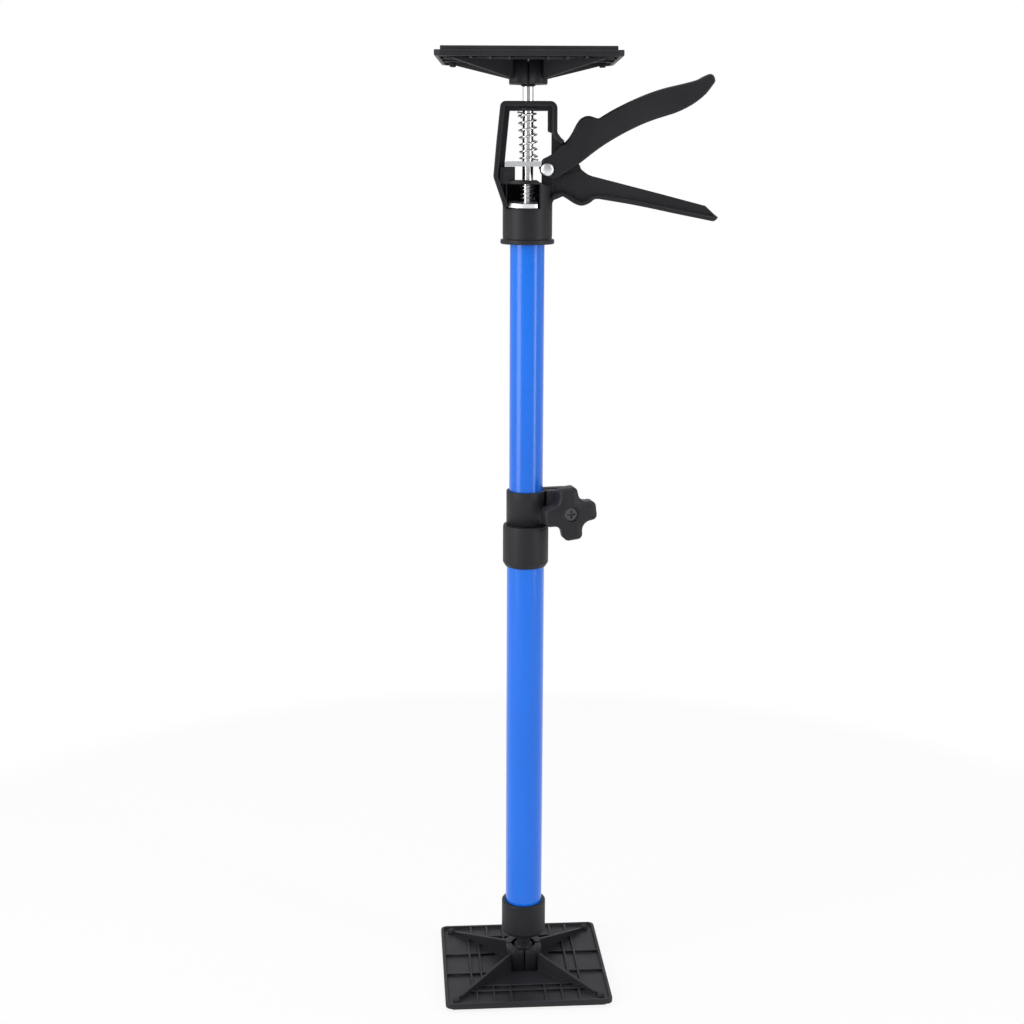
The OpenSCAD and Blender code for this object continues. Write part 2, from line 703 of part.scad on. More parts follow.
module clamp_washer() {
    color(zinc) at_bolt() translate([0, 0, washer_z]) ring(washer_d, bolt_d + 2 * press_gap, washer_t);
}

// Frame's outer path, from the neck up, over the top and down to the lever
function frame_path() = bent(concat(
    [for (i = [0:4]) [-frame_left_shares[i][0] * frame_left, frame_left_shares[i][1] * frame_h,
                      frame_left_r_shares[i] * frame_h]],
    [for (i = [0:3]) [frame_right_shares[i][0] * frame_right, frame_right_shares[i][1] * frame_h,
                      frame_right_r_shares[i] * frame_h]]));

function window_pts() = concat(
    [for (s = reversed(window_left_shares)) [-s[0] * frame_left, s[1] * window_top]],
    [for (s = window_right_shares) [s[0] * frame_right, s[1] * window_top]],
    [[frame_right * window_right_shares[3][0], neck_h], [-frame_left * shelf_right_share, neck_h],
     [-frame_left * shelf_right_share, shelf_z]]);

function grip_at(P) = [for (s = P) [neck_od / 2 + s[0] * grip_l / 100, pocket_z + s[1] * grip_l / 100]];
function pin_at(P, l) = [for (s = P) [pin_x + s[0] * l / 100, pin_z + s[1] * l / 100]];

// Handle: a web with a wide flange along its underside
module grip() {
    low = eased(grip_at(grip_low_shares));
    slab(concat(low, eased(grip_at(grip_high_shares)), grip_at(grip_root_shares)),
         -grip_web_t / 2, grip_web_t / 2);
    slab(band(low, 0, -grip_flange_t), -grip_flange_w / 2, grip_flange_w / 2);
}

module housing() {
    half = frame_depth / 2;
    web = web_depth / 2;
    thin = grip_web_t / 2;
    path = frame_path();
    color(plastic) translate([0, 0, housing_z]) difference() {
        union() {
            cylinder(d = neck_od, h = neck_h);
            cylinder(d = neck_flange_d, h = neck_flange_h);
            slab(band(path, 0, flange_t), -half, half);
            difference() {
                slab(concat([for (p = path) if (p[0] < frame_right || p[1] > web_drop_share * frame_h) p],
                            [[frame_right * 0.69, web_drop_share * frame_h],
                             [-frame_left * shelf_right_share, neck_h - flange_t]]), -web, web);
                slab(window_pts(), -half, half);
            }
            translate([-frame_left * shelf_left_share, -shelf_depth / 2, neck_h - flange_t])
                cube([frame_left * (shelf_left_share - shelf_right_share), shelf_depth,
                      shelf_z - neck_h + flange_t]);
            translate([0, 0, window_top]) cylinder(d = seat_d, h = frame_bar - flange_t / 2);
            slab(pin_at(pin_web_shares, fork_r), -thin, thin);
            translate([pin_x, 0, pin_z]) cross_bar(pin_boss_d, -thin, thin);
            grip();
        }
        translate([0, 0, -cut]) cylinder(d = inner_d + 2 * press_gap, h = tube_seat + cut);
        cylinder(d = guide_hole, h = frame_h + cut);
        translate([-pocket_left, -neck_flange_d, pocket_z])
            cube([pocket_left + pocket_right, neck_flange_d + lock_ledge_y, pocket_h]);
        translate([-pocket_left, 0, lock_z - housing_z - seat_gap])
            cube([pocket_left + pocket_right, pocket_back,
                  pocket_z + pocket_h - lock_z + housing_z + seat_gap]);
        translate([-heel_x - 2 * heel_gap, -half - cut, shelf_z])
            cube([heel_x + heel_gap, 2 * half + 2 * cut, drive_t + 3 * heel_gap]);
        translate([0, -half, shelf_z]) cube([pin_x + ledge_x, 2 * half, drive_t + 3 * heel_gap]);
        for (y = [[-half - cut, -fork_gap / 2 + slide_gap], [fork_gap / 2 - slide_gap, half + cut]])
            translate([pin_x, 0, pin_z]) difference() {
                cross_bar(2 * relief_r, y[0], y[1]);
                translate([0, y[0] - cut, relief_r * 0.9])
                    cube([2 * relief_r, y[1] - y[0] + 2 * cut, relief_r]);
            }
        translate([pin_x, 0, pin_z]) cross_bar(pin_d + 2 * press_gap, -half, half);
        translate([0, 0, housing_screw_z]) back_screw_hole(neck_od);
    }
}

module lever_pin() {
    face = lever_w / 2 + face_gap;
    color(zinc) translate([pin_x, 0, housing_z + pin_z]) {
        cross_bar(pin_d, -face - pin_head_h / 2, face + pin_head_h);
        cross_bar(pin_head_d, -face - pin_head_h, -face);
        cross_bar(pin_d * 1.4, face + pin_head_h / 2, face + pin_head_h);
    }
}

module pin_washer() {
    face = lever_w / 2 + face_gap;
    color(zinc) translate([pin_x, face + pin_head_h / 2, housing_z + pin_z]) rotate([90, 0, 0])
        ring(pin_head_d, pin_d + 2 * press_gap, pin_head_h / 2);
}

module housing_screw() {
    color(zinc) translate([0, 0, housing_z + housing_screw_z])
        back_screw(neck_od, inner_bore / 2 - tube_wall / 3);
}

module trigger_lever() {
    half = lever_w / 2;
    low = pin_at(lever_low_shares, lever_l);
    color(plastic) translate([0, 0, housing_z]) difference() {
        slab(concat(
            [[pin_x - pin_boss_d * 0.56, pin_z + ledge_z], [pin_x + ledge_x, pin_z + ledge_z],
             [pin_x + ledge_x, pin_z + ledge_z + drive_t + 2 * seat_gap]],
            eased(pin_at(concat(lever_high_shares, lever_low_shares, lever_tip_shares), lever_l))),
            -half, half);
        translate([pin_x, 0, pin_z]) cross_bar(2 * fork_r, -fork_gap / 2, fork_gap / 2);
        slab(band(eased(low), -groove_h, groove_h), -fork_gap / 2, fork_gap / 2);
        translate([pin_x, 0, pin_z]) cross_bar(pin_d + 2 * turn_gap, -half - cut, half + cut);
    }
}

module drive_plate() {
    r = drive_t * 0.23;
    color(zinc) translate([0, 0, drive_z]) difference() {
        slab(rounded([[-drive_left, 0, r], [drive_right, 0, r], [drive_right, drive_t, r],
                      [-drive_left, drive_t, r * 2]], 3), -drive_w / 2, drive_w / 2);
        translate([0, 0, -cut]) cylinder(d = drive_hole_d, h = drive_t + 2 * cut);
    }
}

module lock_plate() {
    color(zinc) translate([0, lock_back, lock_z]) rotate([lock_slope, 0, 0]) translate([0, -lock_back, 0])
        difference() {
            intersection() {
                cylinder(r = lock_front, h = lock_t);
                translate([-lock_left, -2 * lock_front, -cut])
                    cube([lock_left + lock_right, 2 * lock_front + lock_back, lock_t + 2 * cut]);
            }
            translate([0, 0, -cut]) cylinder(d = lock_hole_d, h = lock_t + 2 * cut);
        }
}

module push_rod() {
    neck_z = top_ball_z - ball_d / 2 + ball_flat - face_gap;
    color(zinc) {
        translate([0, 0, rod_z]) cylinder(d = rod_d, h = neck_z - rod_z);
        translate([0, 0, neck_z - rod_d])
            cylinder(d = spigot_d, h = top_ball_z + rivet_z + rivet_h / 2 - neck_z + rod_d);
        translate([0, 0, top_ball_z + rivet_z + face_gap]) cylinder(d = rivet_d, h = rivet_h);
    }
}

module rod_stop_bush() {
    color(plastic) translate([0, 0, rod_z]) ring(stop_d, rod_d + 2 * press_gap, stop_h);
}

module top_ball() {
    color(plastic) translate([0, 0, top_ball_z]) difference() {
        sphere(d = ball_d);
        translate([-ball_d, -ball_d, -ball_d - ball_d / 2 + ball_flat])
            cube([2 * ball_d, 2 * ball_d, ball_d]);
        cylinder(d = spigot_d + 2 * turn_gap, h = 2 * ball_d, center = true);
        translate([0, 0, rivet_z]) cylinder(d = rivet_sink_d, h = ball_d);
    }
}

// Height share of a spring at turn t: closed end turns and an even pitch between them
function coil_z(t, turns, h, wire) =
    let(e = 0.75, tight = wire * 1.35, open = (h - wire - 2 * e * tight) / (turns - 2 * e))
    wire / 2 + (t < e ? t * tight : (t > turns - e ? h - wire - (turns - t) * tight
                                     : e * tight + (t - e) * open));

// Middle points of a round-wire spring with straight tangent ends
function coil_path(r, wire, turns, h, lean) =
    let(n = round(turns * 8),
        at = function(i) let(t = i / 8, z = coil_z(t, turns, h, wire))
            [lean * (1 - 2 * z / h) + r * cos(360 * t), r * sin(360 * t), z],
        out = function(i, way) at(i) + way * wire * [-sin(45 * i), cos(45 * i), 0])
    concat([out(0, -1)], [for (i = [0:n]) at(i)], [out(n, 1)]);

// Least clear gap of a coil to itself, measured on its points
function coil_gap(P, wire) =
    min([for (i = [0:len(P) - 7], j = [i + 6:len(P) - 1]) norm(P[i] - P[j])]) - wire;

// One unbroken six-sided tube along a path
module coil(P, wire) {
    n = len(P);
    pts = [for (i = [0:n - 1])
        let(t = unit(P[min(i + 1, n - 1)] - P[max(i - 1, 0)]),
            a = unit(cross(t, [0, 0, 1])), b = cross(a, t))
        for (k = [0:5]) P[i] + wire / 2 * (a * cos(60 * k) + b * sin(60 * k))];
    faces = concat(
        [for (i = [0:n - 2], k = [0:5]) [6 * i + k, 6 * i + (k + 1) % 6, 6 * i + 6 + (k + 1) % 6]],
        [for (i = [0:n - 2], k = [0:5]) [6 * i + k, 6 * i + 6 + (k + 1) % 6, 6 * i + 6 + k]],
        [for (k = [1:4]) [0, k + 1, k]],
        [for (k = [1:4]) [6 * n - 6, 6 * n - 6 + k, 6 * n - 5 + k]]);
    polyhedron(pts, faces);
}

module main_spring() {
    P = coil_path(main_r, main_wire, main_curls, main_z1 - main_z0, main_lean);
    echo(main_spring_least_gap = coil_gap(P, main_wire));
    color(zinc) translate([0, 0, main_z0]) coil(P, main_wire);
}

module lock_spring() {
    P = coil_path(lock_r, lock_wire, lock_curls, lock_z1 - lock_z0, 0);
    echo(lock_spring_least_gap = coil_gap(P, lock_wire));
    color(zinc) translate([0, 0, lock_z0]) coil(P, lock_wire);
}

base_mat();
base_plate();
base_ball_stud();
base_socket();
outer_tube();
clamp_collar();
clamp_nut();
sleeve_screws();
clamp_knob();
clamp_bolt();
clamp_washer();
inner_tube();
tube_guide_plug();
housing();
lever_pin();
pin_washer();
housing_screw();
main_spring();
lock_spring();
trigger_lever();
drive_plate();
lock_plate();
push_rod();
rod_stop_bush();
top_ball();
top_plate();
top_mat();
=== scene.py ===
import math
import bmesh
import bpy
import numpy as np
from mathutils import Matrix, Vector
from mathutils.geometry import delaunay_2d_cdt


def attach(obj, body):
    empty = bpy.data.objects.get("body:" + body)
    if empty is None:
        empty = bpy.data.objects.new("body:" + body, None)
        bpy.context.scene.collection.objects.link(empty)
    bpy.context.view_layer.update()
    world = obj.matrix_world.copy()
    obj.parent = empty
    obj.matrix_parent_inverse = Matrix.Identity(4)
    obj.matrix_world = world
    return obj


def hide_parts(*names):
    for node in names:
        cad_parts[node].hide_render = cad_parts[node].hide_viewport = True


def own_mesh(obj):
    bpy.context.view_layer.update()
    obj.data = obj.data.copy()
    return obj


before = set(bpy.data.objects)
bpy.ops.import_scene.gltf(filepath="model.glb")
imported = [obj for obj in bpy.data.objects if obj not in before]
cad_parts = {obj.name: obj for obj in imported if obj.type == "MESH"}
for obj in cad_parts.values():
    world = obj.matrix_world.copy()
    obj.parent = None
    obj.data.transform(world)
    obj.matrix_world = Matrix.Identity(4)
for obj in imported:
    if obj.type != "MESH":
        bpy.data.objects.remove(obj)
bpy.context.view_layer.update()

print("frame loaded:", len(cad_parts), "nodes")

view = {"place": (-0.01025, -1.16769, 0.63293), "pitchDown": 12.572, "roll": 0.22,
        "lens": 56.43, "sensor": 36.0, "clip": (0.05, 50)}


def makeCamera():
    data = bpy.data.cameras.new("viewCamera")
    data.lens = view["lens"]
    data.sensor_width = view["sensor"]
    data.clip_start, data.clip_end = view["clip"]
    camera = bpy.data.objects.new("viewCamera", data)
    bpy.context.scene.collection.objects.link(camera)
    camera.matrix_world = (Matrix.Translation(view["place"])
                           @ Matrix.Rotation(math.radians(90 - view["pitchDown"]), 4, "X")
                           @ Matrix.Rotation(math.radians(view["roll"]), 4, "Z"))
    bpy.context.scene.camera = camera


makeCamera()
print("camera set")


# one wrapped socket: an expression on it adds the Math nodes
class Value:
    def __init__(self, tree, socket):
        self.tree, self.socket = tree, socket

    def maths(self, operation, *others):
        node = self.tree.nodes.new("ShaderNodeMath")
        node.operation = operation
        for slot, other in zip(node.inputs, (self,) + others):
            feed(self.tree, slot, other)
        return Value(self.tree, node.outputs[0])

    def __add__(self, other): return self.maths("ADD", other)
    def __radd__(self, other): return self.maths("ADD", other)
    def __sub__(self, other): return self.maths("SUBTRACT", other)
    def __rsub__(self, other): return wrap(self.tree, other).maths("SUBTRACT", self)
    def __mul__(self, other): return self.maths("MULTIPLY", other)
    def __rmul__(self, other): return self.maths("MULTIPLY", other)
    def __truediv__(self, other): return self.maths("DIVIDE", other)
    def clipped(self): return self.maths("MINIMUM", 1.0).maths("MAXIMUM", 0.0)

    def between(self, low, high):
        return ((self - low) / (high - low)).clipped()


def wrap(tree, number):
    node = tree.nodes.new("ShaderNodeValue")
    node.outputs[0].default_value = number
    return Value(tree, node.outputs[0])


def feed(tree, slot, what):
    if isinstance(what, Value):
        tree.links.new(what.socket, slot)
    elif isinstance(what, bpy.types.NodeSocket):
        tree.links.new(what, slot)
    else:
        slot.default_value = what


class Finish:
    # a material's tree: the shader, Object coordinates and one method for any other node
    def __init__(self, name):
        self.material = bpy.data.materials.new(name)
        self.material.use_nodes = True
        self.tree = self.material.node_tree
        self.shader = self.tree.nodes["Principled BSDF"]
        self.place = self.node("ShaderNodeTexCoord", out="Object").socket

    def node(self, kind, settings=(), out=0, **values):
        made = self.tree.nodes.new(kind)
        for key, value in dict(settings).items():
            setattr(made, key, value)
        for key, value in values.items():
            feed(self.tree, made.inputs[key.replace("_", " ")], value)
        return Value(self.tree, made.outputs[out])

    def noise(self, scale, detail=3.0, stretch=(1, 1, 1)):
        spot = self.node("ShaderNodeMapping", Vector=self.place, Scale=stretch).socket
        return self.node("ShaderNodeTexNoise", Vector=spot, Scale=scale, Detail=detail)

    def mix(self, factor, first, second):
        made = self.tree.nodes.new("ShaderNodeMix")
        made.data_type = "RGBA"
        feed(self.tree, made.inputs[0], factor)
        feed(self.tree, made.inputs[6], first)
        feed(self.tree, made.inputs[7], second)
        return made.outputs[2]

    def set(self, **values):
        for key, value in values.items():
            feed(self.tree, self.shader.inputs[key.replace("_", " ")], value)

    def relief(self, height, distance, strength=1.0, edge=0.0):
        # bump from a height in 0..1, over corners softened by the edge radius
        bump = self.tree.nodes.new("ShaderNodeBump")
        feed(self.tree, bump.inputs["Height"], height)
        bump.inputs["Distance"].default_value = distance
        bump.inputs["Strength"].default_value = strength
        if edge:
            soft = self.tree.nodes.new("ShaderNodeBevel")
            soft.samples = 4
            soft.inputs["Radius"].default_value = edge
            self.tree.links.new(soft.outputs[0], bump.inputs["Normal"])
        self.tree.links.new(bump.outputs[0], self.shader.inputs["Normal"])


# moulded plastic: near-black, fine spark-eroded grain, faint flow marks and polish in patches
mouldedPlastic = {"dark": (0.011, 0.011, 0.0135, 1), "light": (0.02, 0.02, 0.0245, 1),
                  "grain": 2600, "grainDepth": 0.00005, "clouds": 22, "flow": 60, "flowStretch": (1, 1, 0.25),
                  "rough": 0.4, "roughSpread": 0.16, "specular": 0.25, "bump": 0.6, "softEdge": 0.0006}


def makePlastic(name, values):
    # colour from clouds and grain, roughness from clouds and flow marks, bump from grain and flow marks
    f = Finish(name)
    grain = f.noise(values["grain"], 2.0)
    cloud = f.noise(values["clouds"], 4.0)
    flow = f.noise(values["flow"], 3.0, values["flowStretch"])
    shade = (cloud * 0.6 + grain * 0.4).between(0.35, 0.65)
    polish = (cloud * 0.5 + flow * 0.5).between(0.3, 0.7)
    f.set(Base_Color=f.mix(shade, values["dark"], values["light"]),
          Roughness=values["rough"] + polish * values["roughSpread"], Specular_IOR_Level=values["specular"])
    f.relief(grain * 0.7 + flow * 0.3, values["grainDepth"], values["bump"], values["softEdge"])
    return f.material


# powder coat: saturated blue under a clear gloss, faint orange peel and hairline rub marks
blueCoat = {"deep": (0.0, 0.125, 0.66, 1), "bright": (0.0, 0.17, 0.82, 1), "rough": 0.34,
            "peel": 420, "peelDepth": 0.00004, "bump": 0.35, "clouds": 12, "cloudStretch": (1, 1, 0.3),
            "rub": 900, "rubStretch": (1, 1, 0.02), "rubFrom": (0.62, 0.75),
            "gloss": 0.75, "glossRough": 0.2, "specular": 0.1}


def makeCoat():
    f = Finish("blueCoat")
    peel = f.noise(blueCoat["peel"], 2.0)
    cloud = f.noise(blueCoat["clouds"], 3.0, blueCoat["cloudStretch"])
    rub = f.noise(blueCoat["rub"], 2.0, blueCoat["rubStretch"]).between(*blueCoat["rubFrom"])
    f.set(Base_Color=f.mix(cloud.between(0.3, 0.7), blueCoat["deep"], blueCoat["bright"]),
          Roughness=blueCoat["rough"] + cloud.between(0.3, 0.7) * 0.06 + rub * 0.1,
          Coat_Weight=blueCoat["gloss"] - rub * 0.3, Coat_Roughness=blueCoat["glossRough"],
          Specular_IOR_Level=blueCoat["specular"])
    f.relief(peel, blueCoat["peelDepth"], blueCoat["bump"])
    return f.material


# plated steel: bright zinc with a cloudy bloom and fine lines, drawn out where stretch is small
steels = {"rodSteel": {"color": (0.86, 0.87, 0.88), "rough": 0.1, "stretch": (1, 1, 0.03),
                       "depth": 0.00001, "bloom": 0.05, "softEdge": 0.0002},
          "zincSteel": {"color": (0.86, 0.87, 0.89), "rough": 0.3, "stretch": (1, 0.05, 1),
                        "depth": 0.00002, "bloom": 0.12, "softEdge": 0.0002},
          "blackSteel": {"color": (0.09, 0.09, 0.095), "rough": 0.34, "stretch": (1, 0.05, 1),
                         "depth": 0.00002, "bloom": 0.12, "softEdge": 0.0002},
          "springSteel": {"color": (0.82, 0.83, 0.85), "rough": 0.2, "stretch": (1, 1, 1),
                          "depth": 0.00001, "bloom": 0.1, "softEdge": 0.0}}


def makeSteel(name):
    f, values = Finish(name), steels[name]
    lines = f.noise(1500, 3.0, values["stretch"])
    cloud = f.noise(90, 4.0)
    bright = values["color"] + (1,)
    dull = tuple(c * (1 - values["bloom"]) for c in values["color"]) + (1,)
    f.set(Base_Color=f.mix(cloud.between(0.35, 0.65), bright, dull), Metallic=1.0,
          Roughness=values["rough"] + lines.between(0.3, 0.7) * 0.1 + cloud.between(0.4, 0.7) * 0.06)
    f.relief(lines, values["depth"], 0.4, values["softEdge"])
    return f.material


# rubber: flat black with a rubbed, slightly dusty face and a coarse grain
matRubber = {"black": (0.016, 0.016, 0.017, 1), "dusty": (0.034, 0.034, 0.035, 1), "grain": 1500, "dust": 45,
             "rough": 0.68, "roughSpread": 0.16, "specular": 0.35,
             "depth": 0.00008, "bump": 0.7, "softEdge": 0.0005}


def makeRubber():
    f = Finish("blackRubber")
    grain = f.noise(matRubber["grain"], 3.0)
    dust = f.noise(matRubber["dust"], 5.0)
    f.set(Base_Color=f.mix(dust.between(0.45, 0.75), matRubber["black"], matRubber["dusty"]),
          Roughness=matRubber["rough"] + dust.between(0.3, 0.7) * matRubber["roughSpread"],
          Specular_IOR_Level=matRubber["specular"])
    f.relief(grain * 0.7 + dust * 0.3, matRubber["depth"], matRubber["bump"], matRubber["softEdge"])
    return f.material


plastic = makePlastic("blackPlastic", mouldedPlastic)
coat = makeCoat()
rubber = makeRubber()
rodSteel = makeSteel("rodSteel")
zincSteel = makeSteel("zincSteel")
blackSteel = makeSteel("blackSteel")
springSteel = makeSteel("springSteel")
print("materials made")

finishOf = {"base_mat": rubber, "top_mat": rubber, "outer_tube": coat, "inner_tube": coat,
            "clamp_bolt": blackSteel, "push_rod": rodSteel,
            "main_spring": springSteel, "lock_spring": springSteel}
for name in ["clamp_nut", "sleeve_screws", "clamp_washer", "lever_pin", "pin_washer",
             "housing_screw", "drive_plate", "lock_plate"]:
    finishOf[name] = zincSteel


def dressNodes():
    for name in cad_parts:
        node = bpy.data.objects[name]
        node.data.materials.clear()
        node.data.materials.append(finishOf.get(name, plastic))


dressNodes()
print("nodes dressed")

# lengths in the piece dictionaries are millimetres, and makePiece turns them into metres; the springs'
# anchors, the lights and the floor are in metres
# an outline moved sideways: mitreLeast keeps sharp bends from shooting out, and a moved point is good
# where it lies at least clear times the distance away from the outline
offsets = {"mitreLeast": 0.35, "clear": 0.96}


def roundCorners(corners, steps=6):
    # an outline of (u, v, radius): each corner is the arc tangent to both its sides
    spots = []
    count = len(corners)
    for i, (u, v, radius) in enumerate(corners):
        here = np.array([u, v], float)
        back = np.array(corners[i - 1][:2], float) - here
        ahead = np.array(corners[(i + 1) % count][:2], float) - here
        back, ahead = back / np.linalg.norm(back), ahead / np.linalg.norm(ahead)
        half = math.acos(float(np.clip(back @ ahead, -1, 1))) / 2
        if radius <= 0 or half > math.radians(89.5):
            spots.append(here[None])
            continue
        middle = here + (back + ahead) / np.linalg.norm(back + ahead) * radius / math.sin(half)
        start = here + back * radius / math.tan(half) - middle
        stop = here + ahead * radius / math.tan(half) - middle
        first = math.atan2(start[1], start[0])
        turn = (math.atan2(stop[1], stop[0]) - first + math.pi) % (2 * math.pi) - math.pi
        angle = first + turn * np.linspace(0, 1, steps + 1)
        spots.append(middle + radius * np.stack([np.cos(angle), np.sin(angle)], 1))
    return np.concatenate(spots)


def smoothPath(points, steps=4, share=0.48):
    # every bend of an open path is an arc that takes up a share of the shorter of its two sides
    p = np.asarray(points, float)
    back, ahead = p[:-2] - p[1:-1], p[2:] - p[1:-1]
    short, long = np.linalg.norm(back, axis=1), np.linalg.norm(ahead, axis=1)
    half = np.arccos(np.clip(np.sum(back * ahead, 1) / (short * long), -1, 1)) / 2
    radius = share * np.minimum(short, long) * np.tan(np.minimum(half, math.radians(89.4)))
    return roundCorners(np.column_stack([p, np.concatenate([[0], radius, [0]])]).tolist(), steps)


def turnLeft(outline):
    # runs anticlockwise, so that its inside is on the left
    u, v = outline.T
    return outline if np.sum(u * np.roll(v, -1) - np.roll(u, -1) * v) > 0 else outline[::-1]


def inset(outline, distance):
    # every point moves inward along the mitre of its two sides' normals
    side = np.roll(outline, -1, 0) - outline
    side /= np.linalg.norm(side, axis=1, keepdims=True) + 1e-12
    normal = np.stack([-side[:, 1], side[:, 0]], 1)
    before = np.roll(normal, 1, 0)
    bend = np.maximum(1 + np.sum(before * normal, 1, keepdims=True), offsets["mitreLeast"])
    mitre = (before + normal) / bend
    spots = outline + mitre * distance
    # where a bend is tighter than the distance, the points lie on a line between their good neighbours
    away = np.linalg.norm(spots[:, None] - outline[None], axis=2).min(axis=1)
    good = away >= distance * offsets["clear"]
    order, count = np.arange(len(spots)), len(spots)
    return np.column_stack([np.interp(order, order[good], spots[good, k], period=count) for k in (0, 1)])


def gridQuads(rows, columns, wrapRows=False):
    # quads between neighbouring rows, closed round the columns
    r = np.arange(rows if wrapRows else rows - 1)[:, None]
    c = np.arange(columns)[None]
    n, m = (r + 1) % rows, (c + 1) % columns
    quads = np.stack([r * columns + c, r * columns + m, n * columns + m, n * columns + c], -1)
    return quads.reshape(-1, 4).tolist()


def quarter(edge, steps):
    # inset and depth of a rounded edge: edge * (1 - sin a, 1 - cos a)
    a = np.linspace(0, np.pi / 2, steps + 1)
    return edge * (1 - np.sin(a)), edge * (1 - np.cos(a))


def capFaces(outline, start, up):
    # the outline's inside as triangles on its own points, facing up or down
    spots, _, faces, source, _, _ = delaunay_2d_cdt([Vector(p) for p in outline.tolist()], [],
                                                    [list(range(len(outline)))], 1, 1e-6)
    own = [o[0] if o else int(np.argmin(np.linalg.norm(outline - np.array(spot), axis=1)))
           for o, spot in zip(source, spots)]
    named = [tuple(start + own[k] for k in face) for face in faces]
    return [face if up else face[::-1] for face in named if len(set(face)) == len(face)]


def plateSurface(outline, low, high, edgeLow, edgeHigh, steps=4):
    # an outline carried in depth from low to high, its rim drawn in along quarter circles
    outline = turnLeft(np.asarray(outline, float))
    inLow, upLow = quarter(edgeLow, steps) if edgeLow else (np.zeros(1), np.zeros(1))
    inHigh, upHigh = quarter(edgeHigh, steps) if edgeHigh else (np.zeros(1), np.zeros(1))
    flat = 0.15  # a last narrow ring before each cap
    insets = np.concatenate([[edgeLow + flat], inLow, inHigh[::-1], [edgeHigh + flat]])
    depths = np.concatenate([[low], low + upLow, high - upHigh[::-1], [high]])
    rings = [np.column_stack([inset(outline, i), np.full(len(outline), d)]) for i, d in zip(insets, depths)]
    count, rows = len(outline), len(rings)
    faces = gridQuads(rows, count)
    faces += capFaces(rings[0][:, :2], 0, False) + capFaces(rings[-1][:, :2], (rows - 1) * count, True)
    return np.concatenate(rings), faces


def latheSurface(profile, segments=96):
    # a closed profile of (radius, height) turned about Z: (r cos a, r sin a, h)
    profile = turnLeft(np.asarray(profile, float))
    angle = np.linspace(0, 2 * np.pi, segments, endpoint=False)[None]
    r, h = profile[:, :1], profile[:, 1:]
    spots = np.stack([r * np.cos(angle), r * np.sin(angle), h + 0 * angle], -1).reshape(-1, 3)
    return spots, gridQuads(len(profile), segments, True)


def standing(surface):
    # from (u, v, depth) to an outline standing in XZ, its depth towards -Y
    spots, faces = surface
    return np.column_stack([spots[:, 0], -spots[:, 2], spots[:, 1]]), faces


def moved(surface, shift=(0, 0, 0), turnZ=0.0):
    # turned about Z by the degrees, then shifted
    spots, faces = surface
    c, s = math.cos(math.radians(turnZ)), math.sin(math.radians(turnZ))
    return spots @ np.array([[c, s, 0], [-s, c, 0], [0, 0, 1]]) + np.asarray(shift, float), faces


def makePiece(name, surfaces, body, material, nodes=()):
    # the surfaces as one mesh in metres; points that meet are joined, and slivers left open are filled
    spots, faces, start = [], [], 0
    for s, f in surfaces:
        spots.append(s)
        faces += [tuple(int(k) + start for k in face) for face in f]
        start += len(s)
    mesh = bpy.data.meshes.new(name)
    mesh.from_pydata((np.concatenate(spots) * 0.001).tolist(), [], faces)
    weld = bmesh.new()
    weld.from_mesh(mesh)
    bmesh.ops.remove_doubles(weld, verts=weld.verts, dist=1e-6)
    bmesh.ops.holes_fill(weld, edges=weld.edges, sides=4)
    weld.to_mesh(mesh)
    weld.free()
    mesh.polygons.foreach_set("use_smooth", np.ones(len(mesh.polygons), bool))
    mesh.materials.append(material)
    mesh.validate()
    piece = bpy.data.objects.new(name, mesh)
    bpy.context.scene.collection.objects.link(piece)
    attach(piece, body)
    if nodes:
        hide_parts(*nodes)
    print("piece", name, len(mesh.polygons), "faces")
    return piece


# high and low are hundredths of the lever's length, counted from the pin; the ledge is in millimetres
lever = {"pin": (13.7, 622.3), "length": 117.6, "halfWidth": 8.0, "gap": 3.4, "edge": 1.5, "innerEdge": 0.3,
         "groove": 9.0, "coreFrom": 0.236, "coreLow": 7, "lap": 0.4,
         "ledge": [(7.9, 624.1), (9.8, 624.1), (9.8, 628.2)],
         "high": [(-2.2, 6.4), (2.8, 8.8), (6.4, 12.4), (12.5, 17.7), (15, 21.6), (17.8, 27.2),
                  (19.9, 30), (22.8, 31.5), (25.7, 31.5), (28.6, 30.4), (30.7, 30), (38.6, 34.9),
                  (52.9, 42), (67.1, 47.3), (81.4, 50.5), (89.2, 52.6), (93.5, 55), (96.3, 56.2),
                  (98.5, 55.4), (100, 52)],
         "low": [(94.5, 44.3), (87.5, 38.7), (78.2, 33.8), (60.4, 28.4), (46, 21.7), (31.7, 13.2),
                 (19.6, 3.6), (8.8, -3.6), (4.5, -5.8), (1.3, -5.8), (-1.4, -4.2), (-3.9, -1.6),
                 (-4.9, 0.9)]}


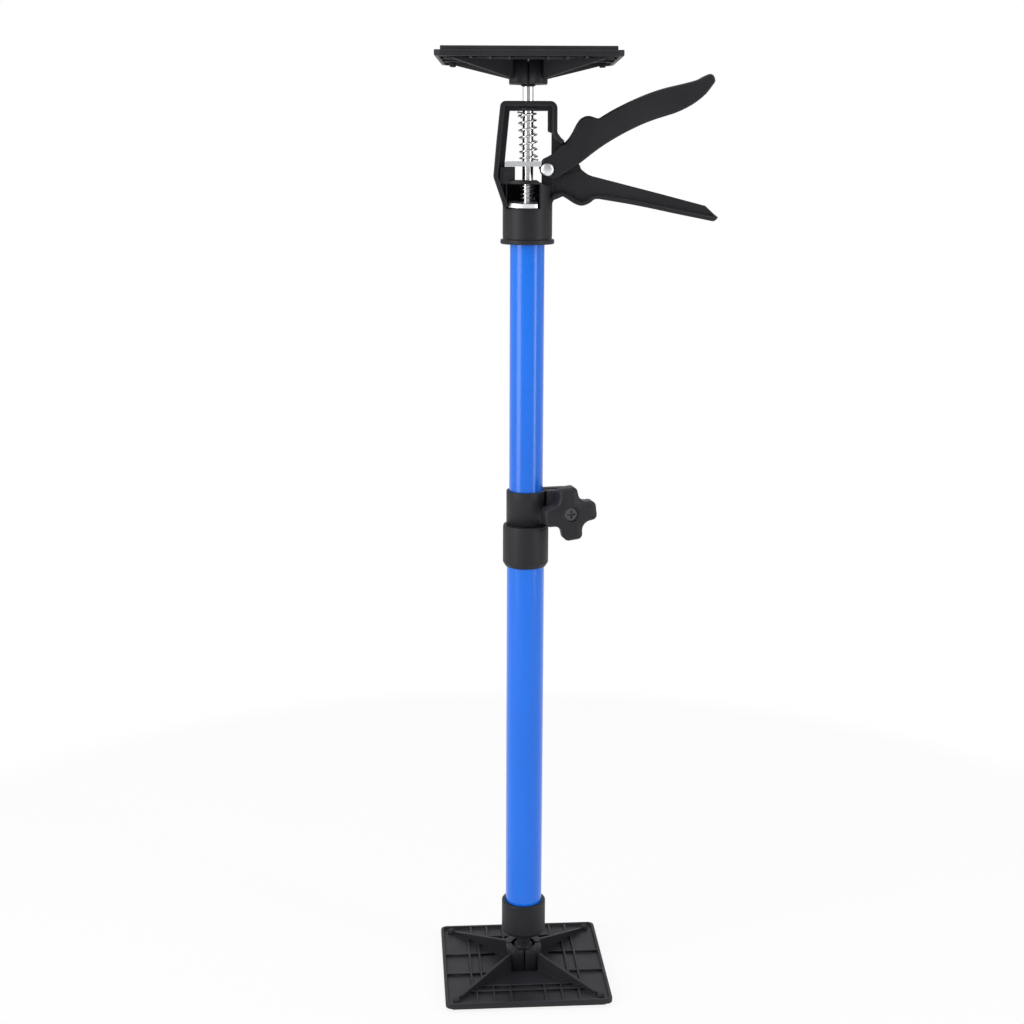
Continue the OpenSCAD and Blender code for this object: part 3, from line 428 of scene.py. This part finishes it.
def makeLever():
    # two cheeks of the whole outline, and between them a core under the back with a groove on its low side
    scale = lever["length"] / 100
    at = lambda points: np.asarray(points, float) * scale + lever["pin"]
    outer = np.concatenate([np.array(lever["ledge"]), smoothPath(at(lever["high"] + lever["low"]), 5)])
    half, gap, edge = lever["halfWidth"], lever["gap"], lever["edge"]
    high = smoothPath(at(lever["high"]), 5)
    low = smoothPath(at(lever["low"][:lever["coreLow"]]), 5)
    reach = lever["coreFrom"] * lever["length"]
    high = high[np.linalg.norm(high - lever["pin"], axis=1) > reach]
    step = np.gradient(low, axis=0)
    step /= np.linalg.norm(step, axis=1, keepdims=True)
    roof = low + np.column_stack([step[:, 1], -step[:, 0]]) * lever["groove"]
    roof = roof[np.linalg.norm(roof - lever["pin"], axis=1) > reach]
    core = np.concatenate([high, low[:1], roof])
    inner, lap = lever["innerEdge"], lever["lap"]
    makePiece("leverShell", [standing(plateSurface(outer, gap, half, inner, edge)),
                             standing(plateSurface(outer, -half, -gap, edge, inner)),
                             standing(plateSurface(core, -gap - lap, gap + lap, 0, 0))],
              "lever", plastic, ["trigger_lever"])


makeLever()

# "turn" is the bolt's bearing round the pole, "own" the knob's turn on the bolt, both in degrees
knob = {"bolt": (27.6, 375.0), "turn": 14.0, "own": 7.0, "across": 39.5, "lobe": 13.6, "endRound": 3.8,
        "root": 1.16, "rootRound": 7.0, "back": 15.6, "front": 28.6, "edge": 3.4, "backEdge": 0.8,
        "boss": 8.0, "bossBack": 10.15, "hole": 3.1, "recess": 5.25, "recessDepth": 5.5, "crown": 0.6}


def onBolt(surface):
    # from the bolt's own frame (across, up, towards the viewer) to the object's
    spots, faces = surface
    return moved(standing((spots + (knob["bolt"][0], knob["bolt"][1], 0), faces)), turnZ=knob["turn"])


def makeKnob():
    # star outline; rings from the recess's floor out over the crown, round the edge and back to the boss
    across, lobe, root = knob["across"], knob["lobe"], knob["lobe"] * knob["root"]
    arm = [(across, -lobe, knob["endRound"]), (across, lobe, knob["endRound"]),
           (root, root, knob["rootRound"])]
    corners = [((x * c - y * s) / 2, (x * s + y * c) / 2, r)
               for c, s in [(1, 0), (0, 1), (-1, 0), (0, -1)] for x, y, r in arm]
    star = turnLeft(roundCorners(corners, 10))
    a = math.radians(knob["own"])
    star = star @ np.array([[math.cos(a), math.sin(a)], [-math.sin(a), math.cos(a)]])
    angle = np.arctan2(star[:, 1], star[:, 0])
    circle = np.column_stack([np.cos(angle), np.sin(angle)])
    front, edge, hole = knob["front"], knob["edge"], knob["recess"]
    floor = front - knob["recessDepth"]
    rings = [(circle * 0.5, floor), (circle * hole * 0.98, floor), (circle * hole, floor + 0.3),
             (circle * hole, front - 0.6), (circle * (hole + 0.5), front - 0.05)]
    over = inset(star, edge)
    for share in np.linspace(0.08, 1, 9):
        rings.append((circle * (hole + 0.6) * (1 - share) + over * share, front - knob["crown"] * share ** 2))
    inward, down = quarter(edge, 5)
    top = front - knob["crown"]
    rings += [(inset(star, i), top - d) for i, d in list(zip(inward, down))[1:]]
    rings += [(inset(star, i), knob["back"] + d) for i, d in list(zip(*quarter(knob["backEdge"], 3)))[::-1]]
    rings += [(circle * knob["boss"], knob["back"]), (circle * knob["boss"], knob["bossBack"]),
              (circle * knob["hole"], knob["bossBack"])]
    spots = np.concatenate([np.column_stack([r, np.full(len(r), z)]) for r, z in rings[::-1]])
    count, rows = len(star), len(rings)
    faces = gridQuads(rows, count)
    faces += [tuple(range(count))[::-1], tuple(range((rows - 1) * count, rows * count))]
    makePiece("knobStar", [onBolt((spots, faces))], "knob", plastic, ["clamp_knob"])


makeKnob()

# heights are from the ground, and floor is the bottom of the cup's inside
cup = {"outer": 17.0, "bottom": 34.0, "top": 61.0, "floor": 38.0, "bore": 14.04, "stem": 4.06, "edge": 3.6}


def makeCup():
    # a turned cup, open at the top, with a hole for the ball's stem
    profile = roundCorners([(cup["stem"], cup["bottom"], 0), (cup["outer"], cup["bottom"], cup["edge"]),
                            (cup["outer"], cup["top"], 0.9), (cup["bore"], cup["top"], 0.5),
                            (cup["bore"], cup["floor"], 0), (cup["stem"], cup["floor"], 0)], 8)
    makePiece("cupShell", [latheSurface(profile, 128)], "lower_pole", plastic, ["base_socket"])


makeCup()

# heights are from the neck's lower end, which is "foot" up the pole
housing = {"foot": 570.0, "depth": 13.0, "webDepth": 6.0, "flange": 3.4, "edge": 0.9, "lap": 1.2,
           "shoulder": 77.5,
           "frame": [(-17.3, 25.8, 0), (-18.4, 30, 6), (-24.4, 47.2, 6), (-22.3, 71.1, 10), (-19.3, 99.2, 4),
                     (20.5, 99.2, 5), (20.6, 77.9, 3.5), (22.1, 75.1, 2), (25.6, 72.2, 0)],
           "window": [(16.3, 77.6), (14.0, 78.6), (13.9, 92.7), (-12.9, 92.7), (-16.2, 58.5), (-16.4, 54.0),
                      (-15.4, 46), (-15.4, 30)],
           "shelf": [(-20, 42.1, 0), (-9, 42.1, 0), (-9, 54.1, 0.6), (-20, 54.1, 0.6)], "shelfDepth": 10.0,
           "shelfMark": (-14.6, 49.6, 2.4),
           "seat": (8.5, 92.7, 97.0), "pin": (13.7, 52.3), "boss": 5.2, "bossHalf": 3.1,
           "relief": 10.25, "webHalf": 2.8,
           "pinWeb": [(-3.85, -16.5), (-3.85, 0), (3, 9), (3, 25.8), (6.9, 25.8), (11.8, 19.5), (16.2, 11.8),
                      (23.1, 3.3), (24.4, 0), (24.2, -6.9), (16.5, -16.5), (3.6, -22)],
           "panelHalf": 3.15, "panelFrom": 31}

# low, high and arc are hundredths of the handle's length, counted from its start
handle = {"start": (17.8, 25.4), "length": 118.3, "halfWidth": 8.0, "flange": 3.0, "edge": 1.1,
          "low": [(-0.6, -2), (-0.4, 3.2), (1.9, 6.5), (4.5, 7.4), (7.1, 6.5), (12.9, 2.7), (17.5, 1.1),
                  (22.1, 2.9), (25, 5.4), (27.2, 5.6), (50.5, 1.9), (72.5, -2.7), (97.4, -7.6), (99.6, -5.1)],
          "high": [(92.1, 1.7), (64.9, 8.7), (21.2, 19.6), (17.2, 22.9), (16.4, 22.6)],
          "arc": [(5.6, 19.6), (5.4, 15.5), (6.3, 11.6), (8.6, 8.0), (10.8, 5.6)],
          # ejector marks: across, height from the floor, radius
          "marks": [(33.9, 605.6, 1.9), (59.0, 604.1, 2.1), (96.8, 596.9, 1.9)]}

neck = {"bore": 12.56, "seatTop": 20.8, "outer": 17.8, "top": 44.8, "flangeOuter": 19.4, "flangeTop": 3.5,
        "rod": 4.1, "pocket": (-14.7, 8.5, 25.4, 42.1), "back": 10.0, "lip": 0.4, "round": 0.7, "inner": 6.0,
        "topRings": (15.5, 13.5, 11.5, 9.5, 7.0), "hollowFrom": 40, "pocketColumns": 30, "otherColumns": 80,
        "pocketRows": 6, "lowRows": 7, "highRows": 3}


def sideways(path, distance):
    # an open path moved to the right of its travel, along the mitre of its neighbours' normals
    path = np.asarray(path, float)
    step = np.diff(path, axis=0)
    step /= np.linalg.norm(step, axis=1, keepdims=True) + 1e-12
    normal = np.column_stack([step[:, 1], -step[:, 0]])
    before, after = np.vstack([normal[:1], normal]), np.vstack([normal, normal[-1:]])
    bend = np.maximum(1 + np.sum(before * after, 1, keepdims=True), offsets["mitreLeast"])
    mitre = (before + after) / bend
    return path + mitre * distance


def band(path, width):
    # the closed outline between a path and its copy moved to the left, without the loops of tight bends
    copy = sideways(path, -width)
    clear = np.linalg.norm(copy[:, None] - path[None], axis=2).min(axis=1) > width * offsets["clear"]
    return np.concatenate([path, copy[clear][::-1]])


def disc(middle, radius, count=40):
    # a circle's outline: middle + radius * (cos a, sin a)
    a = np.linspace(0, 2 * np.pi, count, endpoint=False)
    return np.column_stack([middle[0] + radius * np.cos(a), middle[1] + radius * np.sin(a)])


def neckSurface():
    # turned wall (r cos a, r sin a, h); the cells in the pocket's opening are left out, and the rim of the
    # hole runs straight back along Y to a flat wall
    left, right, low, high = neck["pocket"]
    lip, outer, soft = neck["lip"], neck["outer"], neck["round"]
    wide, tall, lowRows = neck["pocketColumns"], neck["pocketRows"], neck["lowRows"]
    a0, a1 = -math.acos((left - lip) / outer), -math.acos((right + lip) / outer)
    front = np.linspace(a0, a1, wide + 1)
    angle = np.concatenate([front, np.linspace(a1, a0 + 2 * np.pi, neck["otherColumns"] + 2)[1:-1]])
    profile = roundCorners([(neck["inner"], neck["seatTop"], 0), (neck["bore"], neck["seatTop"], 0),
                            (neck["bore"], 0, 0.4), (neck["flangeOuter"], 0, 0.9),
                            (neck["flangeOuter"], neck["flangeTop"], 0.9),
                            (outer, neck["flangeTop"], soft)], 5)
    rows = np.concatenate([np.linspace(neck["inner"], low - lip, lowRows + 1),
                           np.linspace(low - lip, high + lip, tall + 1)[1:],
                           np.linspace(high + lip, neck["top"] - soft, neck["highRows"] + 1)[1:]])
    firstRow = len(profile) + lowRows
    bend = np.linspace(0.3, np.pi / 2, 4)
    top = np.column_stack([outer - soft * (1 - np.cos(bend)), neck["top"] - soft + soft * np.sin(bend)])
    cap = np.column_stack([neck["topRings"], np.full(len(neck["topRings"]), neck["top"])])
    profile = np.concatenate([profile, np.column_stack([np.full(len(rows), outer), rows]), top, cap])
    r, h = profile[:, :1], profile[:, 1:]
    spots = np.stack([r * np.cos(angle), r * np.sin(angle), h + 0 * angle], -1)
    count = len(angle)
    # the lever's cheeks need a hollow of constant radius about the pin
    away = spots[..., 0] - housing["pin"][0]
    hollow = housing["pin"][1] - np.sqrt(np.maximum(housing["relief"] ** 2 - away ** 2, 0))
    dips = np.abs(away) < housing["relief"]
    dips &= (spots[..., 2] > hollow) & (spots[..., 2] > neck["hollowFrom"])
    spots[..., 2] = np.where(dips, hollow, spots[..., 2])
    quads = np.array(gridQuads(len(profile), count))
    row, column = quads[:, 0] // count, quads[:, 0] % count
    lastRow = firstRow + tall
    quads = quads[~((row >= firstRow) & (row < lastRow) & (column < wide))]
    grid = np.arange(len(profile) * count).reshape(-1, count)
    faces = quads.tolist() + [tuple(grid[0, ::-1].tolist()), tuple(grid[-1].tolist())]
    hole = np.concatenate([grid[firstRow, :wide], grid[firstRow:lastRow, wide],
                           grid[lastRow, wide:0:-1], grid[lastRow:firstRow:-1, 0]])
    flat = spots.reshape(-1, 3)
    rim = flat[hole].copy()
    rim[:, 0] = np.clip(rim[:, 0], left, right)
    rim[:, 2] = np.clip(rim[:, 2], low, high)
    rim[:, 1] += lip
    wall = rim.copy()
    wall[:, 1] = neck["back"]
    start, k = len(flat), len(hole)
    ringA, ringB = np.arange(start, start + k), np.arange(start + k, start + 2 * k)
    for near, far in [(hole, ringA), (ringA, ringB)]:
        faces += np.stack([near, np.roll(near, -1), np.roll(far, -1), far], 1).tolist()
    faces.append(tuple(ringB.tolist()))
    return np.concatenate([flat, rim, wall]), faces


def makeHousing():
    # flange and web of the frame, shelf, pin web and boss, handle panel and strip, marks, spring seat, neck
    up = (0, 0, housing["foot"])
    path = roundCorners(housing["frame"], 8)
    half, web, edge = housing["depth"], housing["webDepth"], housing["edge"]
    flange = band(path[::-1], housing["flange"])
    inner = sideways(path, housing["lap"])
    inner = inner[(path[:, 1] > housing["shoulder"]) | (path[:, 0] < 0)]
    ring = np.concatenate([inner, np.array(housing["window"])])
    pin = np.array(housing["pin"])
    grip = lambda points: np.asarray(points, float) * handle["length"] / 100 + handle["start"]
    low = smoothPath(grip(handle["low"]), 5)
    strip = band(low, handle["flange"])
    lowFrom = low[low[:, 0] > housing["panelFrom"]]
    panel = np.concatenate([lowFrom, smoothPath(grip(handle["high"]), 2), smoothPath(grip(handle["arc"]), 4)])
    panelHalf, thin, boss = housing["panelHalf"], housing["webHalf"], housing["bossHalf"]
    shelf, wide = housing["shelfDepth"], handle["halfWidth"]
    markAt, markR = housing["shelfMark"][:2], housing["shelfMark"][2]
    parts = [plateSurface(flange, -half, half, edge, edge), plateSurface(ring, -web, web, 0.4, 0.4),
             plateSurface(roundCorners(housing["shelf"]), -shelf, shelf, 0.5, 0.5),
             plateSurface(np.array(housing["pinWeb"]) + pin, -thin, thin, 0.3, 0.3),
             plateSurface(disc(pin, housing["boss"]), -boss, boss, 0.3, 0.3),
             plateSurface(panel, -panelHalf, panelHalf, 0.35, 0.35),
             plateSurface(strip, -wide, wide, handle["edge"], handle["edge"]),
             plateSurface(disc(markAt, markR), shelf - 0.3, shelf + 0.15, 0, 0.12)]
    for x, z, r in handle["marks"]:
        mark = disc((x, z - housing["foot"]), r)
        parts.append(plateSurface(mark, panelHalf - 0.3, panelHalf + 0.12, 0, 0.1))
    seatR, seatLow, seatHigh = housing["seat"]
    seat = latheSurface(roundCorners([(neck["rod"], seatLow, 0.3), (seatR, seatLow, 0.7),
                                      (seatR, seatHigh, 0), (neck["rod"], seatHigh, 0)]), 64)
    surfaces = [moved(standing(p), up) for p in parts] + [moved(seat, up), moved(neckSurface(), up)]
    makePiece("gripHousing", surfaces, "upper_pole", plastic, ["housing"])


makeHousing()

# heights are from the ground, and turn is the bearing of the slit and the ears, in degrees
collar = {"bore": 14.05, "tubeBore": 12.62, "outer": 17.0, "foot": 332.0, "step": 362.5, "top": 363.5,
          "sleeve": 14.5, "sleeveTop": 389.5, "slit": 2.0, "earOuter": 9.0, "reach": 35.0, "earFoot": 366.0,
          "earRound": 5.0, "earRoot": 13.6, "turn": 14.0, "chamfer": (1.8, 3), "stepIn": 0.25, "lap": 0.4}


def makeCollar():
    # a turned lower sleeve, an upper sleeve with a slit, and an ear on each side of the slit
    c = collar
    outer, inStep, top = c["outer"], c["outer"] - c["stepIn"], c["top"]
    lower = latheSurface(roundCorners([
        (c["bore"], c["foot"], 0.3), (outer - c["chamfer"][0], c["foot"], 0.5),
        (outer, c["foot"] + c["chamfer"][1], 1.2), (outer, top - 1.9, 0.2), (inStep, top - 1.7, 0.2),
        (inStep, top, 0.6), (c["tubeBore"], top, 0), (c["tubeBore"], c["step"], 0),
        (c["bore"], c["step"], 0)], 6), 128)
    opening = math.asin(c["slit"] / c["sleeve"])
    inside = math.asin(c["slit"] / c["tubeBore"])
    outerArc = np.linspace(opening, 2 * np.pi - opening, 120)
    innerArc = np.linspace(2 * np.pi - inside, inside, 120)
    ring = np.concatenate([c["sleeve"] * np.column_stack([np.cos(outerArc), np.sin(outerArc)]),
                           c["tubeBore"] * np.column_stack([np.cos(innerArc), np.sin(innerArc)])])
    upper = moved(plateSurface(ring, top - c["lap"], c["sleeveTop"], 0, 0.6), turnZ=c["turn"])
    ear = roundCorners([(c["earRoot"], c["earFoot"], 0), (c["reach"], c["earFoot"], c["earRound"]),
                        (c["reach"], c["sleeveTop"], c["earRound"]), (c["earRoot"], c["sleeveTop"], 0.3)], 8)
    near = moved(standing(plateSurface(ear, c["slit"], c["earOuter"], 0.4, 0.9)), turnZ=c["turn"])
    far = moved(standing(plateSurface(ear, 0.3 - c["earOuter"], -c["slit"], 0.9, 0.4)), turnZ=c["turn"])
    makePiece("collarShell", [lower, upper, near, far], "lower_pole", plastic, ["clamp_collar"])


makeCollar()

# heights are from the plate's mat side, towards the hub; headHeight is where that side lies at the head
pad = {"side": 127.0, "corner": 5.0, "rim": 4.0, "rimWidth": 2.6, "rib": 0.8, "web": 1.0, "ribFoot": 1.5,
       "hub": 13.5, "hubCut": 5.2, "hubHigh": 20.0, "slot": 0.6, "seat": 9.3, "bow": 2.0, "mouth": 16.6,
       "sideRibs": (34.0, 42.0), "frontRibs": (35.9, 43.9), "sideCross": 15.5, "crossFrom": 22,
       "frontCross": (13.0, 26.0, 39.0), "mat": 59.5, "matThick": 3.0, "plug": 55.0,
       "footTurn": 4.2, "headHeight": 700.8,
       # (how far in, height) from the mat side's face out round the rim and down to the floor of the plate
       "rise": [(1.0, 0), (0.5, 0), (0.1, 0.15), (0, 0.5), (0, 3.3), (0.2, 3.8), (0.7, 4.0), (2.0, 4.0),
                (2.45, 3.8), (2.6, 3.4), (2.7, 2.4), (2.95, 2.05), (3.4, 2.0), (4.2, 2.0)],
       # (distance from the middle, height) of the diagonal webs
       "webSide": [(12.6, 1.5), (73.9, 1.5), (74.4, 4.2), (71.4, 4.9), (16.2, 16.4), (12.6, 16.8)],
       # (radius, height, rounding) of the mat's plugs
       "plugSide": [(0.3, 1.0, 0), (2.1, 1.0, 0), (2.1, 2.05, 0), (3.0, 2.05, 0.4), (2.8, 3.2, 0.4),
                    (2.1, 5.4, 0.6), (0.3, 5.4, 0)]}


def square(half, radius):
    return roundCorners([(x * half, y * half, radius) for x, y in [(-1, -1), (1, -1), (1, 1), (-1, 1)]], 8)


def bar(x0, x1, y0, y1, low, high, edge=0.35):
    # a box from low to high with its upper rim rounded
    return plateSurface(np.array([(x0, y0), (x1, y0), (x1, y1), (x0, y1)], float), low, high, 0, edge, 2)


def plateParts():
    # a tray of insets of one rounded square, straight ribs, four diagonal webs and four hub fingers
    half, r, foot = pad["side"] / 2, pad["rib"], pad["ribFoot"]
    outline = turnLeft(square(half, pad["corner"]))
    rise, n = pad["rise"], len(outline)
    spots = np.concatenate([np.column_stack([inset(outline, i), np.full(n, z)]) for i, z in rise])
    faces = gridQuads(len(rise), n)
    faces += [tuple(range(n))[::-1], tuple(range((len(rise) - 1) * n, len(rise) * n))]
    parts = [(spots, faces)]
    edgeIn, top = half - pad["rimWidth"] + 0.4, pad["rim"] - 0.05
    for s in (-1, 1):
        for x in pad["sideRibs"]:
            parts.append(bar(s * x - r, s * x + r, -x, x, foot, top))
        for y in pad["frontRibs"]:
            parts.append(bar(-y, y, s * y - r, s * y + r, foot, top))
        for e in (-1, 1):
            x0, x1 = sorted((s * pad["crossFrom"], s * edgeIn))
            parts.append(bar(x0, x1, e * pad["sideCross"] - r, e * pad["sideCross"] + r, foot, top - 0.1))
            for x in pad["frontCross"]:
                y0, y1 = sorted((s * max(x, pad["frontRibs"][0]), s * edgeIn))
                parts.append(bar(e * x - r, e * x + r, y0, y1, foot, top - 0.1))
    h, c, s = pad["hub"], pad["hub"] - pad["hubCut"], pad["slot"]
    a = np.linspace(s / pad["seat"], np.pi / 2 - s / pad["seat"], 12)[::-1]
    corner = [(h, s), (h, c - 0.4), (h - 0.3, c + 0.3), (c + 0.3, h - 0.3), (c - 0.4, h), (s, h)]
    finger = np.concatenate([corner, np.column_stack([pad["seat"] * np.cos(a), pad["seat"] * np.sin(a)])])
    for k in range(4):
        blade = standing(plateSurface(np.array(pad["webSide"]), -pad["web"], pad["web"], 0.3, 0.3, 2))
        parts.append(moved(blade, turnZ=45 + 90 * k))
        parts.append(moved(plateSurface(finger, foot, pad["hubHigh"], 0, 0.6, 3), turnZ=90 * k))
    return parts


def matParts():
    # a rounded square sheet and four turned plugs
    plug = roundCorners(pad["plugSide"], 4)
    parts = [plateSurface(square(pad["mat"], 2.5), -pad["matThick"], 0, 0.7, 0.3)]
    for x in (-1, 1):
        for y in (-1, 1):
            parts.append(moved(latheSurface(plug, 32), (x * pad["plug"], y * pad["plug"], 0)))
    return parts


def bowed(surface, sag):
    # the middle comes up towards the hub by sag * (1 - x^2 / half^2), fading to nothing at the hub's mouth
    spots, faces = surface
    half = pad["side"] / 2
    fade = np.clip(1 - spots[:, 2] / pad["mouth"], 0, 1)
    lift = sag * np.clip(1 - (spots[:, 0] / half) ** 2, 0, 1) * fade
    return spots + np.column_stack([0 * lift, 0 * lift, lift]), faces


def flipped(surface, height):
    # turned half round about X, its mat side up at the height
    spots, faces = surface
    return spots * (1, -1, -1) + (0, 0, height), faces


def makePads():
    # the same moulding twice: turned a little on the floor, upside down and dished at the head
    onFoot = lambda p: moved(p, (0, 0, pad["matThick"]), pad["footTurn"])
    onHead = lambda p: flipped(bowed(p, pad["bow"]), pad["headHeight"])
    for end, place, node in [("foot", onFoot, "base"), ("head", onHead, "top")]:
        makePiece(end + "Plate", [place(p) for p in plateParts()], end + "_pad", plastic, [node + "_plate"])
        makePiece(end + "Mat", [place(p) for p in matParts()], end + "_pad", rubber, [node + "_mat"])


makePads()

# low and high are millimetres from the ground; the anchor is a point in metres
springs = {"mainSpring": {"low": 628.2, "high": 662.4, "wire": 0.75, "radius": 6.2, "turns": 7.5,
                          "lean": 0.7, "joint": "drive_tilt", "anchor": (0, 0, 0.6627), "keep": 0.925,
                          "node": "main_spring"},
           "lockSpring": {"low": 600.85, "high": 611.8, "wire": 0.6, "radius": 5.1, "turns": 4.0,
                          "lean": 0.0, "joint": "lock_release", "anchor": (0, 0, 0.6121), "keep": 0.92,
                          "node": "lock_spring"}}
coil = {"perTurn": 32, "round": 12, "endTurns": 0.75, "endPitch": 2.7}


def makeSpring(name, s):
    # a circle of the wire's radius carried along (R cos 2 pi t, R sin 2 pi t, h(t)), closed end turns
    rows, n, wire, e = int(s["turns"] * coil["perTurn"]) + 1, coil["round"], s["wire"], coil["endTurns"]
    t = np.linspace(0, s["turns"], rows)
    height, tight = s["high"] - s["low"], wire * coil["endPitch"]
    room = height - 2 * wire - 2 * e * tight
    h = wire + np.interp(t, [0, e, s["turns"] - e, s["turns"]],
                         [0, e * tight, e * tight + room, room + 2 * e * tight])
    a = 2 * np.pi * t
    middle = np.column_stack([s["radius"] * np.cos(a) + s["lean"] * (1 - 2 * h / height),
                              s["radius"] * np.sin(a), s["low"] + h])
    out = np.column_stack([np.cos(a), np.sin(a), 0 * a])[:, None]
    ring = np.linspace(0, 2 * np.pi, n + 1)[:-1]
    along = np.gradient(middle, axis=0)
    along /= np.linalg.norm(along, axis=1, keepdims=True)
    up = np.cross(out[:, 0], along)[:, None]
    side = np.cos(ring)[None, :, None] * out - np.sin(ring)[None, :, None] * up
    spots = (middle[:, None] + wire * side).reshape(-1, 3)
    faces = gridQuads(rows, n) + [tuple(range(n))[::-1], tuple(range((rows - 1) * n, rows * n))]
    piece = makePiece(name, [(spots, faces)], "upper_pole", springSteel, [s["node"]])
    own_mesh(piece)


for springName, springValues in springs.items():
    makeSpring(springName, springValues)

# from the pin's middle towards the viewer: a domed front head and a riveted rear end
pin = {"at": (13.7, 0, 622.3), "radius": 2.5, "headR": 4.6, "face": 8.15, "head": 2.15, "rim": 0.7,
       "rear": 10.3, "tailR": 3.5, "tail": 1.1, "middle": 0.2}


def makePin():
    # turned about Y: the head is a low dome, its radius falling as its height rises
    r, face, rear, tail, rim = pin["headR"], pin["face"], pin["rear"], pin["tailR"], pin["rim"]
    a = np.linspace(0, np.pi / 2 - 0.05, 10)
    dome = np.column_stack([r * np.cos(a), face + rim + (pin["head"] - rim) * np.sin(a)])
    profile = np.concatenate([[(pin["middle"], -rear), (tail - 0.5, -rear), (tail, 0.4 - rear),
                               (tail, pin["tail"] - rear), (pin["radius"], pin["tail"] - rear),
                               (pin["radius"], face), (r - 0.3, face), (r, face + 0.3)], dome,
                              [(pin["middle"], face + pin["head"])]])
    makePiece("leverPin", [moved(standing(latheSurface(profile, 48)), pin["at"])],
              "upper_pole", zincSteel, ["lever_pin"])


makePin()


# soft light: a white surround, to gloss dimmer behind the viewer, two tall soft boxes and a top light
lights = {"diffuse": 0.5, "front": 0.4, "flag": 0.25,
          "boxes": [((-1.25, -0.9, 0.75), (0.8, 1.7), 17), ((1.2, -0.75, 0.7), (0.3, 1.6), 8),
                    ((0.0, -0.2, 2.0), (1.2, 1.2), 9)],
          "aim": (0.0, 0.0, 0.42), "fall": (-0.75, -0.1), "strip": (0.5, 0.58, 0.8, 0.88),
          "stripFrom": (0.2, 0.4)}


def makeLights():
    # strength 1 to the camera and a plain diffuse value to matt surfaces; what gloss and glass see falls
    # towards -Y and in two upright strips at the back
    world = bpy.data.worlds.new("surround")
    bpy.context.scene.world = world
    world.use_nodes = True
    tree = world.node_tree
    back = tree.nodes["Background"]
    back.inputs["Color"].default_value = (1, 1, 1, 1)
    path = tree.nodes.new("ShaderNodeLightPath")
    split = tree.nodes.new("ShaderNodeSeparateXYZ")
    tree.links.new(tree.nodes.new("ShaderNodeTexCoord").outputs["Generated"], split.inputs[0])
    across, along = Value(tree, split.outputs[0]).maths("ABSOLUTE"), Value(tree, split.outputs[1])
    front = lights["front"] + along.between(*lights["fall"]) * (1 - lights["front"])
    inner, outer = across.between(*lights["strip"][:2]), across.between(*lights["strip"][2:])
    strip = inner * (1 - outer) * along.between(*lights["stripFrom"])
    glossy = front * (1 - strip * (1 - lights["flag"]))
    isGlossy = Value(tree, path.outputs["Is Glossy Ray"])
    isGlossy = isGlossy.maths("MAXIMUM", Value(tree, path.outputs["Is Transmission Ray"]))
    isCamera = Value(tree, path.outputs["Is Camera Ray"])
    other = glossy * isGlossy + (1 - isGlossy) * lights["diffuse"]
    feed(tree, back.inputs["Strength"], isCamera + (1 - isCamera) * other)
    for number, (spot, size, power) in enumerate(lights["boxes"]):
        data = bpy.data.lights.new("softBox%d" % number, "AREA")
        data.shape = "RECTANGLE"
        data.size, data.size_y = size
        data.energy = power
        lamp = bpy.data.objects.new(data.name, data)
        bpy.context.scene.collection.objects.link(lamp)
        lamp.location = spot
        lamp.rotation_euler = (Vector(lights["aim"]) - Vector(spot)).to_track_quat("-Z", "Y").to_euler()


floorDisc = {"rings": [0.001, 0.3, 0.8, 2.0, 6.0], "spokes": 64, "drop": -0.0003, "color": (0.9, 0.9, 0.9, 1),
             "rough": 0.6, "near": 0.25, "far": 0.7, "least": 0.87}


def makeFloor():
    # a flat disc (r cos a, r sin a, drop); near the pad it takes the shadow, further out the camera
    # sees plain white
    rings, spokes = floorDisc["rings"], floorDisc["spokes"]
    ring, spoke = np.meshgrid(rings, np.linspace(0, 2 * np.pi, spokes, endpoint=False), indexing="ij")
    spots = np.stack([ring * np.cos(spoke), ring * np.sin(spoke), ring * 0 + floorDisc["drop"]], -1)
    spots = spots.reshape(-1, 3)
    faces = gridQuads(len(rings), spokes) + [tuple(range(spokes))[::-1]]
    mesh = bpy.data.meshes.new("floor")
    mesh.from_pydata(spots.tolist(), [], [face[::-1] for face in faces])
    floor = bpy.data.objects.new("floor", mesh)
    bpy.context.scene.collection.objects.link(floor)
    f = Finish("floorWhite")
    f.set(Base_Color=floorDisc["color"], Roughness=floorDisc["rough"], Specular_IOR_Level=0.0)
    away = f.node("ShaderNodeVectorMath", {"operation": "LENGTH"}, 1, Vector=f.place)
    path = f.tree.nodes.new("ShaderNodeLightPath")
    seen = Value(f.tree, path.outputs["Is Camera Ray"])
    for kind in ("Is Glossy Ray", "Is Transmission Ray"):
        seen = seen.maths("MAXIMUM", Value(f.tree, path.outputs[kind]))
    white = f.tree.nodes.new("ShaderNodeEmission")
    blend = f.tree.nodes.new("ShaderNodeMixShader")
    plain = away.between(floorDisc["near"], floorDisc["far"]).maths("MAXIMUM", floorDisc["least"])
    feed(f.tree, blend.inputs[0], plain * seen)
    f.tree.links.new(f.shader.outputs[0], blend.inputs[1])
    f.tree.links.new(white.outputs[0], blend.inputs[2])
    f.tree.links.new(blend.outputs[0], f.tree.nodes["Material Output"].inputs["Surface"])
    mesh.materials.append(f.material)


makeLights()
makeFloor()
bpy.context.scene.view_settings.view_transform = "Standard"
print("light and floor made")
